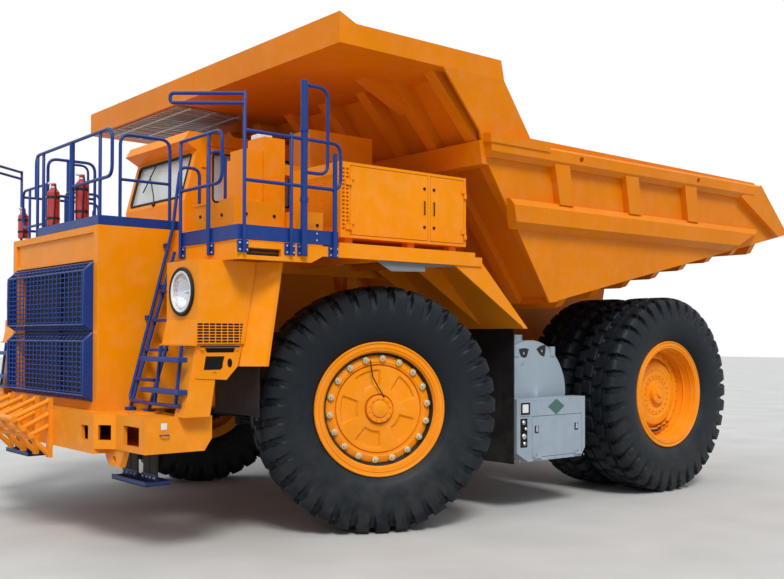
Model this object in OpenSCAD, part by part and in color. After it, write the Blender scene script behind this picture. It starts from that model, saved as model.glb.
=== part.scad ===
/* [Stance] */
// Distance between the front and rear axles
wheelbase = 4620; // [4300:10:4900]
// Radius of the tyres out to the tips of their lugs, which is the height of the axles
tyre_r = 1325; // [1300:5:1340]
// Width of one tyre
tyre_w = 730; // [680:5:750]
// Angle at which the front wheels are parked
steer_rest = -23.5; // [-30:0.5:30]
// Distance from the middle of the truck to each steering pivot
kingpin_x = 1850; // [1830:5:1880]
// Distance from a steering pivot to the middle of its tyre
wheel_offset = 499; // [480:1:520]
// Distance from the middle of the truck to the middle of an inner rear tyre
twin_inner_x = 1640; // [1620:5:1660]
// Distance between the middles of twin tyres
twin_gap = 830; // [800:5:850]

/* [Chassis] */
// Distance from the middle of the truck to the outside of a frame rail
frame_half = 560; // [520:5:580]
// Width of a frame rail
rail_w = 180; // [140:5:200]
// Height of the underside of the frame rails ahead of the rear axle
frame_low = 1150; // [1100:10:1200]
// Height of the top of the front frame rails
frame_mid = 1700; // [1650:10:1750]
// Height of the top of the rear frame rails, on which the bed rests
frame_top = 2080; // [2040:10:2090]

/* [Hood and bumper] */
// Half the width of the hood
hood_half = 1230; // [1180:5:1260]
// Distance from the front axle to the face of the hood
hood_front = 2907; // [2880:5:2950]
// Height of the top of the hood
hood_top = 3232; // [3200:5:3260]
// Height of the underside of the hood
hood_low = 1351; // [1351:5:1400]
// Half the width of the grille
grille_half = 1129; // [1080:5:1150]
// Half the width of the bumper
bumper_half = 2450; // [2400:10:2500]
// Height of the top of the bumper
bumper_top = 1350; // [1320:5:1350]
// Height of the underside of the bumper's middle
bumper_low = 970; // [950:5:990]
// Distance from the front axle to the face of the bumper
bumper_front = 3120; // [3080:5:3150]

/* [Deck and cab] */
// Half the width of the deck
deck_half = 2900; // [2850:10:2950]
// Height of the top of the deck
deck_top = 2990; // [2960:5:3020]
// Thickness of the deck plate and its beams
deck_t = 170; // [140:5:190]
// Distance from the front axle to the front edge of the deck
deck_front = 2270; // [2240:10:2300]
// Distance from the front axle back to the rear edge of the deck
deck_rear = 880; // [850:10:900]
// Width of the cab
cab_w = 1650; // [1600:10:1700]
// Distance from the middle of the truck to the near wall of the cab
cab_near = 100; // [80:10:150]
// Height of the top of the cab
cab_top = 4620; // [4580:10:4640]
// Length of the cab from the windscreen's foot to the rear wall
cab_len = 1690; // [1650:10:1700]
// Diameter of the handrail tube
tube_d = 48; // [40:2:60]
// Height of the low handrails above the deck
rail_h = 1060; // [1000:10:1120]

/* [Bed] */
// Half the width of the bed at its floor's front corner
bed_half = 2700; // [2650:10:2750]
// Outward lean of the bed's sides, in degrees
bed_lean = 7.5; // [6:0.5:8]
// Slope of the bed's floor, in degrees
floor_slope = 12.5; // [11:0.5:13]
// Thickness of the bed's plates
plate_t = 30; // [24:2:40]
// Distance from the front axle back to the bed's pivot
pivot_y = 5700; // [5650:10:5750]
// Height of the bed's pivot
pivot_z = 2400; // [2380:10:2420]
// Radius of the bed's pivot tube
pivot_r = 90; // [80:5:100]
// Half the width of the canopy
canopy_half = 3022; // [3000:5:3040]

/* [Tyres] */
// Number of lugs around one shoulder of a tyre
lug_count = 36; // [30:1:40]
// Depth of the tread
lug_depth = 52; // [40:2:60]

/* [Hidden] */
orange = [0.95, 0.55, 0.05];
blue = [0.10, 0.16, 0.42];
black = [0.06, 0.06, 0.07];
grey = [0.72, 0.74, 0.76];
steel = [0.45, 0.46, 0.48];
red = [0.75, 0.08, 0.06];

// Running gap at pins and between pieces that turn on each other
fit = 0.3;
// Clearance between a door or lid and its frame
door_gap = 6;
// Foremost tube of the front guard, as [y, z], and the diameter of the guard's tubes
guard_tip = [-3530, 1260];
guard_d = 64;
// Reach of the truck ahead of and behind the front axle, which sets its middle
front_reach = guard_d / 2 - guard_tip[0];
rear_reach = 7400;
mid_y = (rear_reach - front_reach) / 2;

// Every station is measured from the front axle, then moved to the truck's middle
module truck() {
    translate([0, -mid_y, 0]) children();
}

module both_sides() {
    children();
    mirror([1, 0, 0]) children();
}

// A profile of [y, z] points carried across the truck from x0 to x1
module across(x0, x1, points) {
    translate([x0, 0, 0]) rotate([90, 0, 90]) linear_extrude(x1 - x0) polygon(points);
}

// A plan of [x, y] points raised from one height to another
module raised(z0, z1, plan) {
    translate([0, 0, z0]) linear_extrude(z1 - z0) polygon(plan);
}

// A plain box between two corners
module block(low, high) {
    translate(low) cube(high - low);
}

// A round bar between two points
module bar(a, b, d, sides = 16) {
    v = b - a;
    turn = atan2(v[1], v[0]);
    lean = acos(v[2] / norm(v));
    translate(a) rotate([0, lean, turn]) cylinder(h = norm(v), d = d, $fn = sides);
}

function unit(v) = v / norm(v);

// A tube through a list of points, with a ball at each bend
module tube_path(points, d) {
    for (i = [0 : len(points) - 2]) bar(points[i], points[i + 1], d);
    for (i = [1 : len(points) - 2]) translate(points[i]) sphere(d = d * 1.06, $fn = 24);
}

function floor_z(y) = bed_low + (y - bed_front) * tan(floor_slope);
function side_x(z) = bed_half + (z - bed_low) * tan(bed_lean);

// Bed stations
bed_front = 2240;
bed_low = 2520;
bed_tail = rear_reach;
bed_top = 4360;
canopy_front = 1205;
canopy_low = 5000;
canopy_top = 5310;
canopy_rear = 1100;
neck_y = 170;
rail_front = 860;
rib_depth = 150;
bolster_h = 130;

hood_wall = 40;
// Frame stations
frame_front = -2560;
frame_arch = 1440;
frame_step = 2200;
frame_rear = 5450;
hoist_low = [3200, 1220];
hoist_eye = [3000, 2500];
hoist_x = 800;
hoist_len = norm(hoist_eye - hoist_low);
hoist_lean = atan2(hoist_eye[0] - hoist_low[0], hoist_eye[1] - hoist_low[1]);
strut_top = 2100;

module frame() color(black) truck() {
    both_sides() {
        across(frame_half - rail_w, frame_half, [[frame_front, frame_low + 130], [-900, frame_low + 130],
            [-600, frame_arch], [700, frame_arch], [1000, frame_low], [3300, frame_low], [3750, 1800],
            [frame_rear, 1800], [frame_rear, frame_top], [frame_step + 300, frame_top],
            [frame_step, frame_mid], [frame_front, frame_mid]]);
        // Tower that takes the top of the front strut
        block([frame_half - rail_w, -140, frame_mid], [frame_half, 140, strut_top]);
        // Side plate that carries the pivot tube
        across(frame_half, frame_half + 60, [[frame_rear - 500, 1800], [frame_rear + 60, 1800],
            [pivot_y + 170, pivot_z - 60], [pivot_y + 170, pivot_z + 60], [pivot_y + 60, pivot_z + 170],
            [pivot_y - 60, pivot_z + 170], [frame_rear - 500, frame_top]]);
    }
    // Cross tubes and cross beams
    translate([-frame_half - 80, pivot_y, pivot_z]) rotate([0, 90, 0])
        cylinder(h = 2 * frame_half + 160, r = pivot_r, $fn = 48);
    translate([-hoist_x - 140, hoist_low[0], hoist_low[1]]) rotate([0, 90, 0])
        cylinder(h = 2 * hoist_x + 280, r = 70, $fn = 32);
    // Cross beams, as front edge, underside and top
    for (beam = [[frame_front, 1300, frame_mid - 60], [1400, 1300, frame_mid - 60], [2500, 1300, frame_top - 60],
        [3500, 1850, frame_top - 60], [frame_rear - 250, 1850, frame_top - 60]])
        block([rail_w - frame_half, beam[0], beam[1]], [frame_half - rail_w, beam[0] + 160, beam[2]]);
}

module engine() color(steel) truck() {
    inside = frame_half - rail_w;
    difference() {
        union() {
            block([-inside, -1900, frame_arch + 20], [inside, 440, 2150]);
            block([60 - inside, -1800, 2150], [inside - 60, 340, 2500]);
            // Fan shroud towards the radiator
            translate([0, -2520, 2150]) rotate([-90, 0, 0]) cylinder(h = 640, r = 420, $fn = 32);
        }
        // Cylinder heads stand apart along the top
        for (y = [-1500, -1100, -700, -300, 100]) block([-inside, y, 2300], [inside, y + 60, 2510]);
    }
}

module radiator() color(black) truck() {
    core = hood_half - hood_wall;
    block([-core, 122 - hood_front, hood_low + 60], [core, 300 - hood_front, 2900]);
    // Stand pipe in the middle
    bar([0, 98 - hood_front, hood_low + 84], [0, 98 - hood_front, 2860], 60, 24);
    for (z = [1700, 2150, 2600]) block([-20, 90 - hood_front, z], [20, 130 - hood_front, z + 40]);
}

bumper_wall = 40;
bumper_step = 1660;
// Height of the tread plate and the studs on the bumper's top
tread_t = 14;
bumper_corner = 1830;
bumper_side_y = -bumper_front + 150;
bumper_outer_low = bumper_low + 50;
tow_y = bumper_side_y + 10;
tow_eye = [1775, 915];
tow_r = 40;

// Plan of the near half of the bumper, drawn in by an inset, which moves the corners of its step sideways
step_shift = 0.378;
module bumper_plan(inset) {
    side = inset * step_shift;
    polygon([[0, inset - bumper_front], [bumper_step - side, inset - bumper_front],
        [bumper_corner - side, bumper_side_y + inset], [bumper_half - inset, bumper_side_y + inset],
        [bumper_half - inset, -2280 - inset], [bumper_half - 120, -2280 - inset],
        [bumper_half - 220, -2480 - inset], [0, -2480 - inset]]);
}

module bumper() color(orange) truck() {
    z_in = [bumper_outer_low + bumper_wall, bumper_top - bumper_wall];
    both_sides() {
        difference() {
            union() {
                translate([0, 0, bumper_outer_low]) linear_extrude(bumper_top - bumper_outer_low) bumper_plan(0);
                block([0, -bumper_front, bumper_low], [bumper_step, -2480, bumper_outer_low]);
            }
            translate([0, 0, z_in[0]]) linear_extrude(z_in[1] - z_in[0]) bumper_plan(bumper_wall);
            // Cut-off lower corner behind the side
            across(900, bumper_half + 10, [[-2400, bumper_low - 10], [-2270, bumper_low - 10],
                [-2270, bumper_outer_low + 130]]);
            // Notch for the front ends of the frame's rails
            block([-10, frame_front - fit, frame_low + 130], [frame_half + fit, -2470, bumper_top + 10]);
            // Windows in the middle, step and outer faces
            block([1360, -bumper_front - 10, 1095], [1530, bumper_wall + 10 - bumper_front, 1235]);
            translate([(bumper_step + bumper_corner) / 2, bumper_side_y - 75, 1105]) rotate([0, 0, 41.4])
                translate([-65, -60, 0]) cube([130, 130, 145]);
            block([1995, bumper_side_y - 10, 1075], [2330, bumper_side_y + bumper_wall + 10, 1260]);
        }
        // Tow lug under the step
        difference() {
            translate([0, tow_y + 60, 0]) rotate([90, 0, 0]) linear_extrude(60)
                polygon([[1500, bumper_outer_low + 10], [2000, bumper_outer_low + 10], [1900, 850], [1650, 850]]);
            translate([tow_eye[0], tow_y - 10, tow_eye[1]]) rotate([-90, 0, 0]) cylinder(h = 80, r = tow_r, $fn = 48);
        }
        // Tread plate and its studs on top
        translate([bumper_corner, -2640, bumper_top]) cylinder(h = tread_t, r = 130, $fn = 32);
        for (i = [0 : 5]) translate([bumper_step - 60 + i * 50, -2860, bumper_top]) cylinder(h = tread_t, r = 16, $fn = 16);
    }
    // Foot of the middle towards the frame
    block([-frame_half, -2481, 1060], [frame_half, -2400, frame_low + 130]);
}

guard_x = [-580, -190, 190, 580];

module front_guard() color(orange) truck() {
    back = -bumper_front - 25;
    foot = [back, 870];
    // Struts from the flat bars to the sloping tubes, as share of the slope and starting height
    for (strut = [[0, 1430], [0.27, 1293], [0.47, 1170]]) {
        p = guard_tip + (foot - guard_tip) * strut[0];
        for (x = guard_x) bar([x, back, strut[1]], [x, p[0], p[1]], guard_d - 14);
        bar([guard_x[0] - 70, p[0], p[1]], [guard_x[3] + 70, p[0], p[1]], strut[0] == 0 ? guard_d : guard_d - 14);
    }
    for (x = guard_x) {
        bar([x, guard_tip[0], guard_tip[1]], [x, foot[0], foot[1]], guard_d - 8);
        block([x - 45, -bumper_front - 40, 840], [x + 45, -bumper_front - fit, 1460]);
    }
}

tunnel_top = deck_top - 60 - fit;

module hood() color(orange) truck() {
    wall = hood_wall;
    difference() {
        union() {
            block([-hood_half, -hood_front, hood_low], [hood_half, -1300, hood_top]);
            block([-620, -1300 - wall, 2150], [620, 500, tunnel_top]);
        }
        // Open inside, at the grille and underneath
        block([wall - hood_half, 110 - hood_front, hood_low - 10], [hood_half - wall, -1300 - wall, hood_top - wall]);
        block([-frame_half - 10, -1310 - wall, hood_low - 10], [frame_half + 10, -1290, 2600]);
        block([wall - 620, -1320 - wall, 2100], [620 - wall, 500 - wall, tunnel_top - wall]);
        block([-grille_half, -hood_front - 10, 1432], [grille_half, 120 - hood_front, 2878]);
        // Recessed panel above the grille
        block([-grille_half, -hood_front - 10, 2920], [grille_half, 25 - hood_front, 3160]);
    }
}

// Pressed guards with bevelled edges, a grid of holes and a frame of bars inside
guard_deep = 100;
guard_sheet = 12;
hole_count = [12, 7];

module grille_guards() color(blue) truck()
    for (z = [[1440, 2140], [2160, 2860]]) {
        face = -hood_front - guard_deep;
        edge = -hood_front - fit;
        outer = [[edge, z[1]], [face, z[1] - 90], [face, z[0] + 60], [edge, z[0]]];
        inner = [[edge, z[0] + 15], [face + guard_sheet, z[0] + 68], [face + guard_sheet, z[1] - 98], [edge, z[1] - 15]];
        pitch = [2 * (grille_half - 60) / hole_count[0], (z[1] - z[0] - 190) / hole_count[1]];
        difference() {
            across(-grille_half, grille_half, concat(outer, inner));
            translate([0, face + guard_sheet + 1, 0]) rotate([90, 0, 0]) linear_extrude(guard_sheet + 2)
                for (i = [0 : hole_count[0] - 1]) for (k = [0 : hole_count[1] - 1])
                    translate([60 - grille_half + (i + 0.08) * pitch[0], z[0] + 80 + (k + 0.12) * pitch[1]])
                        square([pitch[0] * 0.84, pitch[1] * 0.76]);
        }
        both_sides() across(grille_half - 14, grille_half, outer);
        for (x = [-grille_half / 3, grille_half / 3]) across(x - 15, x + 15, outer);
    }

// Front face of a fender at some height, which leans back
fender_lean = 9.1;
fender_low = 1815;
function fender_y(z) = -2060 + (z - fender_low) * tan(fender_lean);
deck_low = deck_top - deck_t;
lamp_x0 = 1980;
lamp_x1 = 2610;
lamp_at = [2302, 2525];
lamp_r = 233;

lip_low = 2014;

module lamp_boxes() color(orange) truck() both_sides() {
    difference() {
        across(lamp_x0, lamp_x1, [[-2520, deck_low - fit], [-2520, 2260], [-2570, 2030],
            [fender_y(2030) - fit, 2030], [fender_y(deck_low) - fit, deck_low - fit]]);
        translate([lamp_at[0], -2530, lamp_at[1]]) rotate([-90, 0, 0]) cylinder(h = 110, r = lamp_r + fit, $fn = 48);
        // Vent grid in the outer side
        translate([lamp_x1 - 25, 0, 0]) rotate([90, 0, 90]) linear_extrude(30)
            for (i = [0 : 6]) for (k = [0 : 6]) translate([-2480 + i * 60, 2070 + k * 34]) square([44, 22]);
    }
    // Lip under the front edge
    block([lamp_x0 - 12, -2590, lip_low], [lamp_x1 + 12, -2540, 2030]);
    // Bracket panel on the outer side, with its holes
    difference() {
        across(2540, 2580, [[-2560, 2035], [-2440, 1950], [-2530, 1710], [-2200, 1690], [-2080, fender_low],
            [fender_y(2030) - fit, 2035]]);
        block([2530, -2420, 1800], [2590, -2240, 1905]);
        translate([2530, -2330, 1748]) rotate([0, 90, 0]) cylinder(h = 60, r = 22, $fn = 24);
    }
    // Pillar down to the bumper
    across(2380, 2570, [[-2520, 2035], [-2640, bumper_top], [-2370, bumper_top], [-2310, 1740], [-2310, 2035]]);
}

module headlamps() color([0.9, 0.9, 0.92]) truck() both_sides()
    translate([lamp_at[0], -2545, lamp_at[1]]) rotate([-90, 0, 0]) cylinder(h = 124, r = lamp_r, $fn = 48);

well_x = hood_half + 550;
well_back = -2040;
skirt = 40;
deck_in = hood_half + 20;

module deck() color(orange) truck() {
    both_sides() {
        // Deck plate with the ladder well beside the hood
        raised(deck_top - 30, deck_top, [[well_x, -deck_front], [deck_half - 45, -deck_front],
            [deck_half, 45 - deck_front], [deck_half, deck_rear], [deck_in, deck_rear],
            [deck_in, well_back], [well_x, well_back]]);
        // Outer skirt, which rises behind the lamp box, and its slot
        difference() {
            across(deck_half - skirt, deck_half, [[45 - deck_front, deck_low], [-1450, deck_low],
                [-1310, deck_low + 70], [deck_rear, deck_low + 70], [deck_rear, deck_top - 10], [45 - deck_front, deck_top - 10]]);
            block([deck_half - skirt - 10, -2180, deck_low + 40], [deck_half + 10, -1800, deck_low + 110]);
        }
        // Chamfered corner, front skirt and the walls of the well
        raised(deck_low, deck_top - 10, [[deck_half - 45, -deck_front], [deck_half, 45 - deck_front],
            [deck_half - skirt, 62 - deck_front], [deck_half - 62, skirt - deck_front]]);
        block([well_x, -deck_front, deck_low], [deck_half - 45, skirt - deck_front, deck_top - 10]);
        block([well_x, -deck_front, deck_low], [well_x + skirt, well_back, deck_top - 10]);
        block([deck_in, well_back, deck_low], [well_x + skirt, well_back + skirt, deck_top - 10]);
        // Beams under the plate
        block([deck_in, well_back, deck_low], [deck_in + skirt, deck_rear, deck_top - 10]);
        for (y = [-1360, -500, 300, deck_rear - 60])
            block([deck_in, y, deck_low + 72], [deck_half - 10, y + 60, deck_top - 10]);
        // Curb beside the cabinet
        block([deck_half - 60, -1100, deck_top], [deck_half - 10, deck_rear - 100, deck_top + 50]);
        // Rear slope on its webs
        across(1500, deck_half - 20, [[deck_rear - 60, deck_top - 40], [deck_rear, deck_top - 40],
            [1650, 2200], [1580, 2200]]);
        for (x = [1500, 2180, deck_half - 50])
            across(x, x + 30, [[deck_rear - 420, deck_low + 80], [deck_rear - 20, deck_top - 40], [1600, 2205], [1500, 2260]]);
    }
    // Middle deck behind the hood
    block([-deck_in - 10, -1250, deck_top - 60], [deck_in + 10, deck_rear, deck_top]);
    // Legs down to the frame
    both_sides() for (y = [-900, 600]) {
        block([660, y, frame_mid - 150], [760, y + 160, deck_top - 60]);
        block([frame_half, y, frame_mid - 150], [760, y + 160, frame_mid]);
    }
}

module fenders() color(orange) truck() both_sides() intersection() {
    translate([0, -2060, fender_low]) rotate([-fender_lean, 0, 0]) translate([0, 0, -200]) linear_extrude(1500)
        polygon([[1700, 0], [2580, 0], [2740, 190], [2740, 225], [2565, 34], [1700, 34]]);
    block([1600, -2300, fender_low], [2800, -1500, deck_low - fit]);
}

rail_x = deck_half + 30;
rail_y = -deck_front - 30;
rail_d = tube_d - 8;
rail_top = deck_top + rail_h;
rail_mid = deck_top + rail_h * 0.53;
hood_posts = [-550, -370, 460, 1190];
platform_y = 37 - hood_front;

module handrails() color(blue) truck() {
    board = 12;
    both_sides() {
        // Posts outside the deck's faces, each on its plate
        for (x = [1830, 2400]) {
            bar([x, rail_y, deck_low + 60], [x, rail_y, rail_top], tube_d);
            block([x - 60, -deck_front - board, deck_low + 60], [x + 60, -deck_front - fit, deck_top]);
        }
        for (p = [[-2225, 4370], [-1707, rail_top], [-1190, 3910]]) {
            bar([rail_x, p[0], deck_low + 60], [rail_x, p[0], p[1]], tube_d);
            block([deck_half + fit, p[0] - 60, deck_low + 60], [deck_half + board, p[0] + 60, deck_top]);
        }
        // The thick post is full size only above the deck's edge
        bar([rail_x, -1560, deck_low + 60], [rail_x, -1560, deck_top + 20], tube_d);
        bar([rail_x, -1560, deck_top + 10], [rail_x, -1560, 4580], 70);
        block([deck_half + fit, -1620, deck_low + 60], [deck_half + board, -1500, deck_top]);
        // Rails as loops: front, side, rear gate and the high corner
        tube_path([[1830, rail_y, rail_top], [2650, rail_y, rail_top], [2650, rail_y, rail_mid], [1830, rail_y, rail_mid]],
            rail_d);
        tube_path([[rail_x, -2225, rail_top - 40], [rail_x, -1120, rail_top - 40], [rail_x, -1120, rail_mid],
            [rail_x, -2225, rail_mid]], rail_d);
        tube_path([[rail_x, -1560, 4540], [rail_x, -1280, 4540], [rail_x, -1280, 3690], [rail_x, -1560, 3690]], rail_d);
        tube_path([[rail_x, -2225, 4350], [rail_x - 440, -2757, 4350], [rail_x - 440, -2757, 4260], [rail_x, -2225, 4260]],
            rail_d);
        // Toe boards standing on the deck's edge
        block([well_x + 20, -deck_front - board, deck_top + 10], [deck_half + board, -deck_front, deck_top + 150]);
        block([deck_half, -deck_front - board, deck_top + 10], [deck_half + board, -1130, deck_top + 150]);
    }
    // Platform on the hood
    for (x = hood_posts) bar([x, platform_y, hood_top], [x, platform_y, 4180], x == hood_posts[2] ? 60 : tube_d);
    tube_path([[hood_posts[0] - 50, platform_y, 4180], [1480, platform_y, 4180], [1480, platform_y, 3700],
        [hood_posts[0] - 50, platform_y, 3700]], rail_d);
    // Side frames of the platform, as x, front, rear and top
    for (side = [[-450, -2790, -2230, 4140], [hood_half - tube_d, -2650, -2090, 4190]])
        tube_path([[side[0], side[1], hood_top], [side[0], side[1], side[3]], [side[0], side[2], side[3]],
            [side[0], side[2], hood_top]], rail_d);
    bar([hood_half - tube_d, -2650, 3720], [hood_half - tube_d, -2090, 3720], rail_d);
    bar([-450, -2790, 3720], [-450, -2230, 3720], rail_d);
    block([-460, -hood_front, hood_top], [hood_half, board - hood_front, hood_top + 98]);
    block([hood_half - board, -hood_front, hood_top], [hood_half, -2000, hood_top + 98]);
}

// Upper ladder, as height to station
function climb_y(z) = -2110 - (deck_top - z) * 0.3;

module ladders() color(blue) truck() both_sides() {
    inner = hood_half + 110;
    outer = well_x - 24;
    foot = bumper_top + 30;
    // Plates stop short of the tubes' middle planes by this much
    bite = 8;
    for (x = [inner, outer]) {
        bar([x, climb_y(deck_top), deck_top], [x, climb_y(foot), foot], rail_d);
        // The outer foot stands on the bumper's round tread plate
        seat = bumper_top + (x == outer ? tread_t : 0) + fit;
        block([x - 45, climb_y(foot) - 45, seat], [x + 45, climb_y(foot) + 45, foot + 4]);
    }
    for (z = [1650 : 300 : 2850])
        block([inner + bite, climb_y(z) - 40, z], [outer - bite, climb_y(z) + 40, z + 30]);
    block([outer + bite, -2150, deck_low + 60], [well_x - fit, -2100, deck_low + 100]);
    block([hood_half + fit, climb_y(2600) - 30, 2600], [inner - bite, climb_y(2600) + 30, 2640]);
    // Handrail that follows the ladder down, then turns across under it as the lower ladder's foot
    line_x = hood_half + 70;
    tube_path([[line_x, -1800, deck_top + fit], [line_x, -1800, 3900], [line_x, -2030, 3900], [line_x, -2110, 3250],
        [line_x, -2590, 1450], [1940, -2650, 1450], [2500, -2650, 1450]], rail_d);
    for (z = [3040, 2280]) {
        y = -2110 - (3250 - z) * 0.267;
        block([hood_half + fit, y - 25, z], [line_x - bite, y + 25, z + 40]);
    }
    tube_path([[1880, -2020, deck_top + fit], [1880, -2020, 3990], [1880, -1820, 3990], [1880, -1820, deck_top + fit]],
        rail_d);
    // Lower ladder under the lamp box
    for (x = [2000, 2420])
        across(x - 15, x + 15, [[-2608, lip_low - fit], [-2568, lip_low - fit], [-2632, 1440], [-2672, 1440]]);
    for (z = [1560, 1860]) block([1800, -2710, z], [2580, -2610, z + 50]);
    // Hanging step on its straps
    block([1200, -2730, 650], [1970, -2470, 700]);
    block([1220, -2610, 690], [1540, -2590, bumper_low - fit]);
    block([bumper_step + fit, -2610, 690], [1964, -2590, bumper_outer_low - fit]);
}

// Cab corners
cab_x0 = -cab_near - cab_w;
cab_x1 = -cab_near;
cab_y0 = -1240;
cab_y1 = cab_y0 + cab_len;
cab_low = deck_top;
cab_wall = 60;
door_y0 = -940;
door_y1 = -60;
door_low = cab_low + 60;
door_high = cab_top - 150;

// Hinges of an upright door: axis outside the wall, with knuckles on the door or on the wall
hinge_r = 14;
hinge_out = hinge_r + 2;

// Leaves and knuckles, as seen on a wall that faces plus x with its door towards plus y
module hinge_row(heights, lift, reach) {
    for (z = heights) {
        translate([hinge_out, 0, z + lift]) cylinder(h = 56, r = hinge_r, $fn = 24);
        block([0, min(0, reach), z + lift], [hinge_out, max(0, reach), z + lift + 56]);
    }
}
cab_hinges = [3250, 3700, 4250];

module cab() color(orange) truck() {
    difference() {
        across(cab_x0, cab_x1, [[cab_y0, cab_low], [cab_y1, cab_low], [cab_y1, cab_top], [cab_y0 + 60, cab_top],
            [cab_y0 - 10, cab_top - 120], [cab_y0 + 170, cab_top - 220], [cab_y0, 3760]]);
        across(cab_x0 + cab_wall, cab_x1 - cab_wall, [[cab_y0 + 60, cab_low + 40], [cab_y1 - 60, cab_low + 40],
            [cab_y1 - 60, cab_top - 60], [cab_y0 + 130, cab_top - 60], [cab_y0 + 130, cab_top - 120],
            [cab_y0 + 230, cab_top - 220], [cab_y0 + 60, 3780]]);
        // Windscreen
        block([cab_x0 + 110, cab_y0 - 40, 3820], [cab_x1 - 110, cab_y0 + 300, cab_top - 260]);
        // Rear window
        block([cab_x0 + 300, cab_y1 - 100, 3800], [cab_x1 - 300, cab_y1 + 10, cab_top - 240]);
        // Doorways and side windows behind them
        for (x = [cab_x0 - 10, cab_x1 - cab_wall - 10]) {
            block([x, door_y0, door_low], [x + cab_wall + 20, door_y1, door_high]);
            block([x, door_y1 + 120, 3800], [x + cab_wall + 20, cab_y1 - 160, cab_top - 220]);
        }
    }
    translate([cab_x1, door_y0, 0]) hinge_row(cab_hinges, -58, -70);
    translate([cab_x0, door_y0, 0]) mirror([1, 0, 0]) hinge_row(cab_hinges, -58, -70);
    // Dashboard and steering column
    block([cab_x0 + 300, cab_y0 + 60, 3500], [cab_x1 - 300, cab_y0 + 240, 3740]);
    bar([(cab_x0 + cab_x1) / 2, cab_y0 + 200, 3600], [(cab_x0 + cab_x1) / 2, -780, 3830], 50);
    translate([(cab_x0 + cab_x1) / 2, -780, 3830]) rotate([50, 0, 0]) cylinder(h = 30, r = 210, $fn = 32);
}

module cab_seat() color([0.15, 0.15, 0.16]) truck() {
    x = (cab_x0 + cab_x1) / 2;
    block([x - 200, -300, cab_low + 40 + fit], [x + 200, 100, cab_low + 380]);
    block([x - 250, -350, cab_low + 380], [x + 250, 150, cab_low + 500]);
    block([x - 250, 60, cab_low + 500], [x + 250, 180, cab_low + 1150]);
}

// A cab door in a wall that faces plus x
module cab_door() {
    difference() {
        block([-cab_wall, door_gap, door_low + door_gap], [0, door_y1 - door_y0 - door_gap, door_high - door_gap]);
        block([-cab_wall - 10, 90, 3780], [10, door_y1 - door_y0 - 90, door_high - 90]);
    }
    hinge_row(cab_hinges, 0, 50);
}

module cab_door_near() color(orange) truck() translate([cab_x1, door_y0, 0]) cab_door();
module cab_door_far() color(orange) truck() translate([cab_x0, door_y0, 0]) mirror([1, 0, 0]) cab_door();

// Boxes on the near deck, as corners in plan and height
deck_box_table = [[1600, -2015, 1846, -1600, 3460], [1915, -2015, 2400, -1430, 3440], [2100, -1420, 2600, -1100, 3360],
    [1300, -1420, 1600, -1200, 4130], [1300, -1199, 1640, -930, 4280], [1300, -590, 1640, 300, 4440],
    [820, -1240, 1000, -1110, 4100]];

module deck_boxes() color(orange) truck() {
    for (b = deck_box_table) block([b[0], b[1], deck_top + fit], [b[2], b[3], b[4]]);
    // Lids that stand out over the two front boxes
    block([1590, -2025, 3440], [1856, -1590, 3464]);
    block([2000, -1960, 3430], [2300, -1660, 3480]);
    // Pipe bridge between the tall boxes
    block([1380, -931, 3900], [1560, -589, 4020]);
}

cabinet_x0 = 1800;
cabinet_x1 = 2700;
cabinet_y0 = -950;
cabinet_y1 = 820;
cabinet_z0 = deck_top + 130;
cabinet_z1 = deck_top + 910;
cabinet_seam = 260;
cabinet_front_y = cabinet_y0 + 120;
cabinet_rear_y = cabinet_y1 - 30;
cabinet_hinges = [3260, 3720];

module power_cabinet() color(orange) truck() {
    difference() {
        block([cabinet_x0, cabinet_y0, cabinet_z0], [cabinet_x1, cabinet_y1, cabinet_z1]);
        block([cabinet_x0 + 30, cabinet_front_y, cabinet_z0 + 30],
            [cabinet_x1 + 10, cabinet_seam - 15, cabinet_z1 - 30]);
        block([cabinet_x0 + 30, cabinet_seam + 15, cabinet_z0 + 30],
            [cabinet_x1 + 10, cabinet_rear_y, cabinet_z1 - 30]);
        // Vent columns in the outer wall and the mesh window in the front one
        translate([cabinet_x1 - 20, 0, 0]) rotate([90, 0, 90]) linear_extrude(30)
            for (k = [0 : 15]) for (y = [-930, -880]) translate([y, 3200 + k * 41]) square([34, 22]);
        block([cabinet_x0 + 230, cabinet_y0 - 10, cabinet_z0 + 120], [cabinet_x1 - 60, cabinet_y0 + 30, cabinet_z1 - 120]);
    }
    for (y = [cabinet_y0 + 100, 0, cabinet_y1 - 200]) for (x = [cabinet_x0 + 60, cabinet_x1 - 160])
        block([x, y, deck_top], [x + 100, y + 100, cabinet_z0]);
    translate([cabinet_x1, cabinet_front_y, 0]) hinge_row(cabinet_hinges, -58, -60);
    translate([cabinet_x1, cabinet_rear_y, 0]) hinge_row(cabinet_hinges, -58, 28);
}

module cabinet_door_front() color(orange) truck() {
    block([cabinet_x1 - 25, cabinet_front_y + door_gap, cabinet_z0 + 30 + door_gap],
        [cabinet_x1, cabinet_seam - 15 - door_gap, cabinet_z1 - 30 - door_gap]);
    translate([cabinet_x1, cabinet_front_y, 0]) hinge_row(cabinet_hinges, 0, 50);
}

module cabinet_door_rear() color(orange) truck() {
    block([cabinet_x1 - 25, cabinet_seam + 15 + door_gap, cabinet_z0 + 30 + door_gap],
        [cabinet_x1, cabinet_rear_y - door_gap, cabinet_z1 - 30 - door_gap]);
    translate([cabinet_x1, cabinet_rear_y, 0]) hinge_row(cabinet_hinges, 0, -50);
}

tank_r = 640;
tank_y = 2290;
tank_z = 1420;
tank_x0 = 1060;
tank_x1 = 2400;

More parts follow.
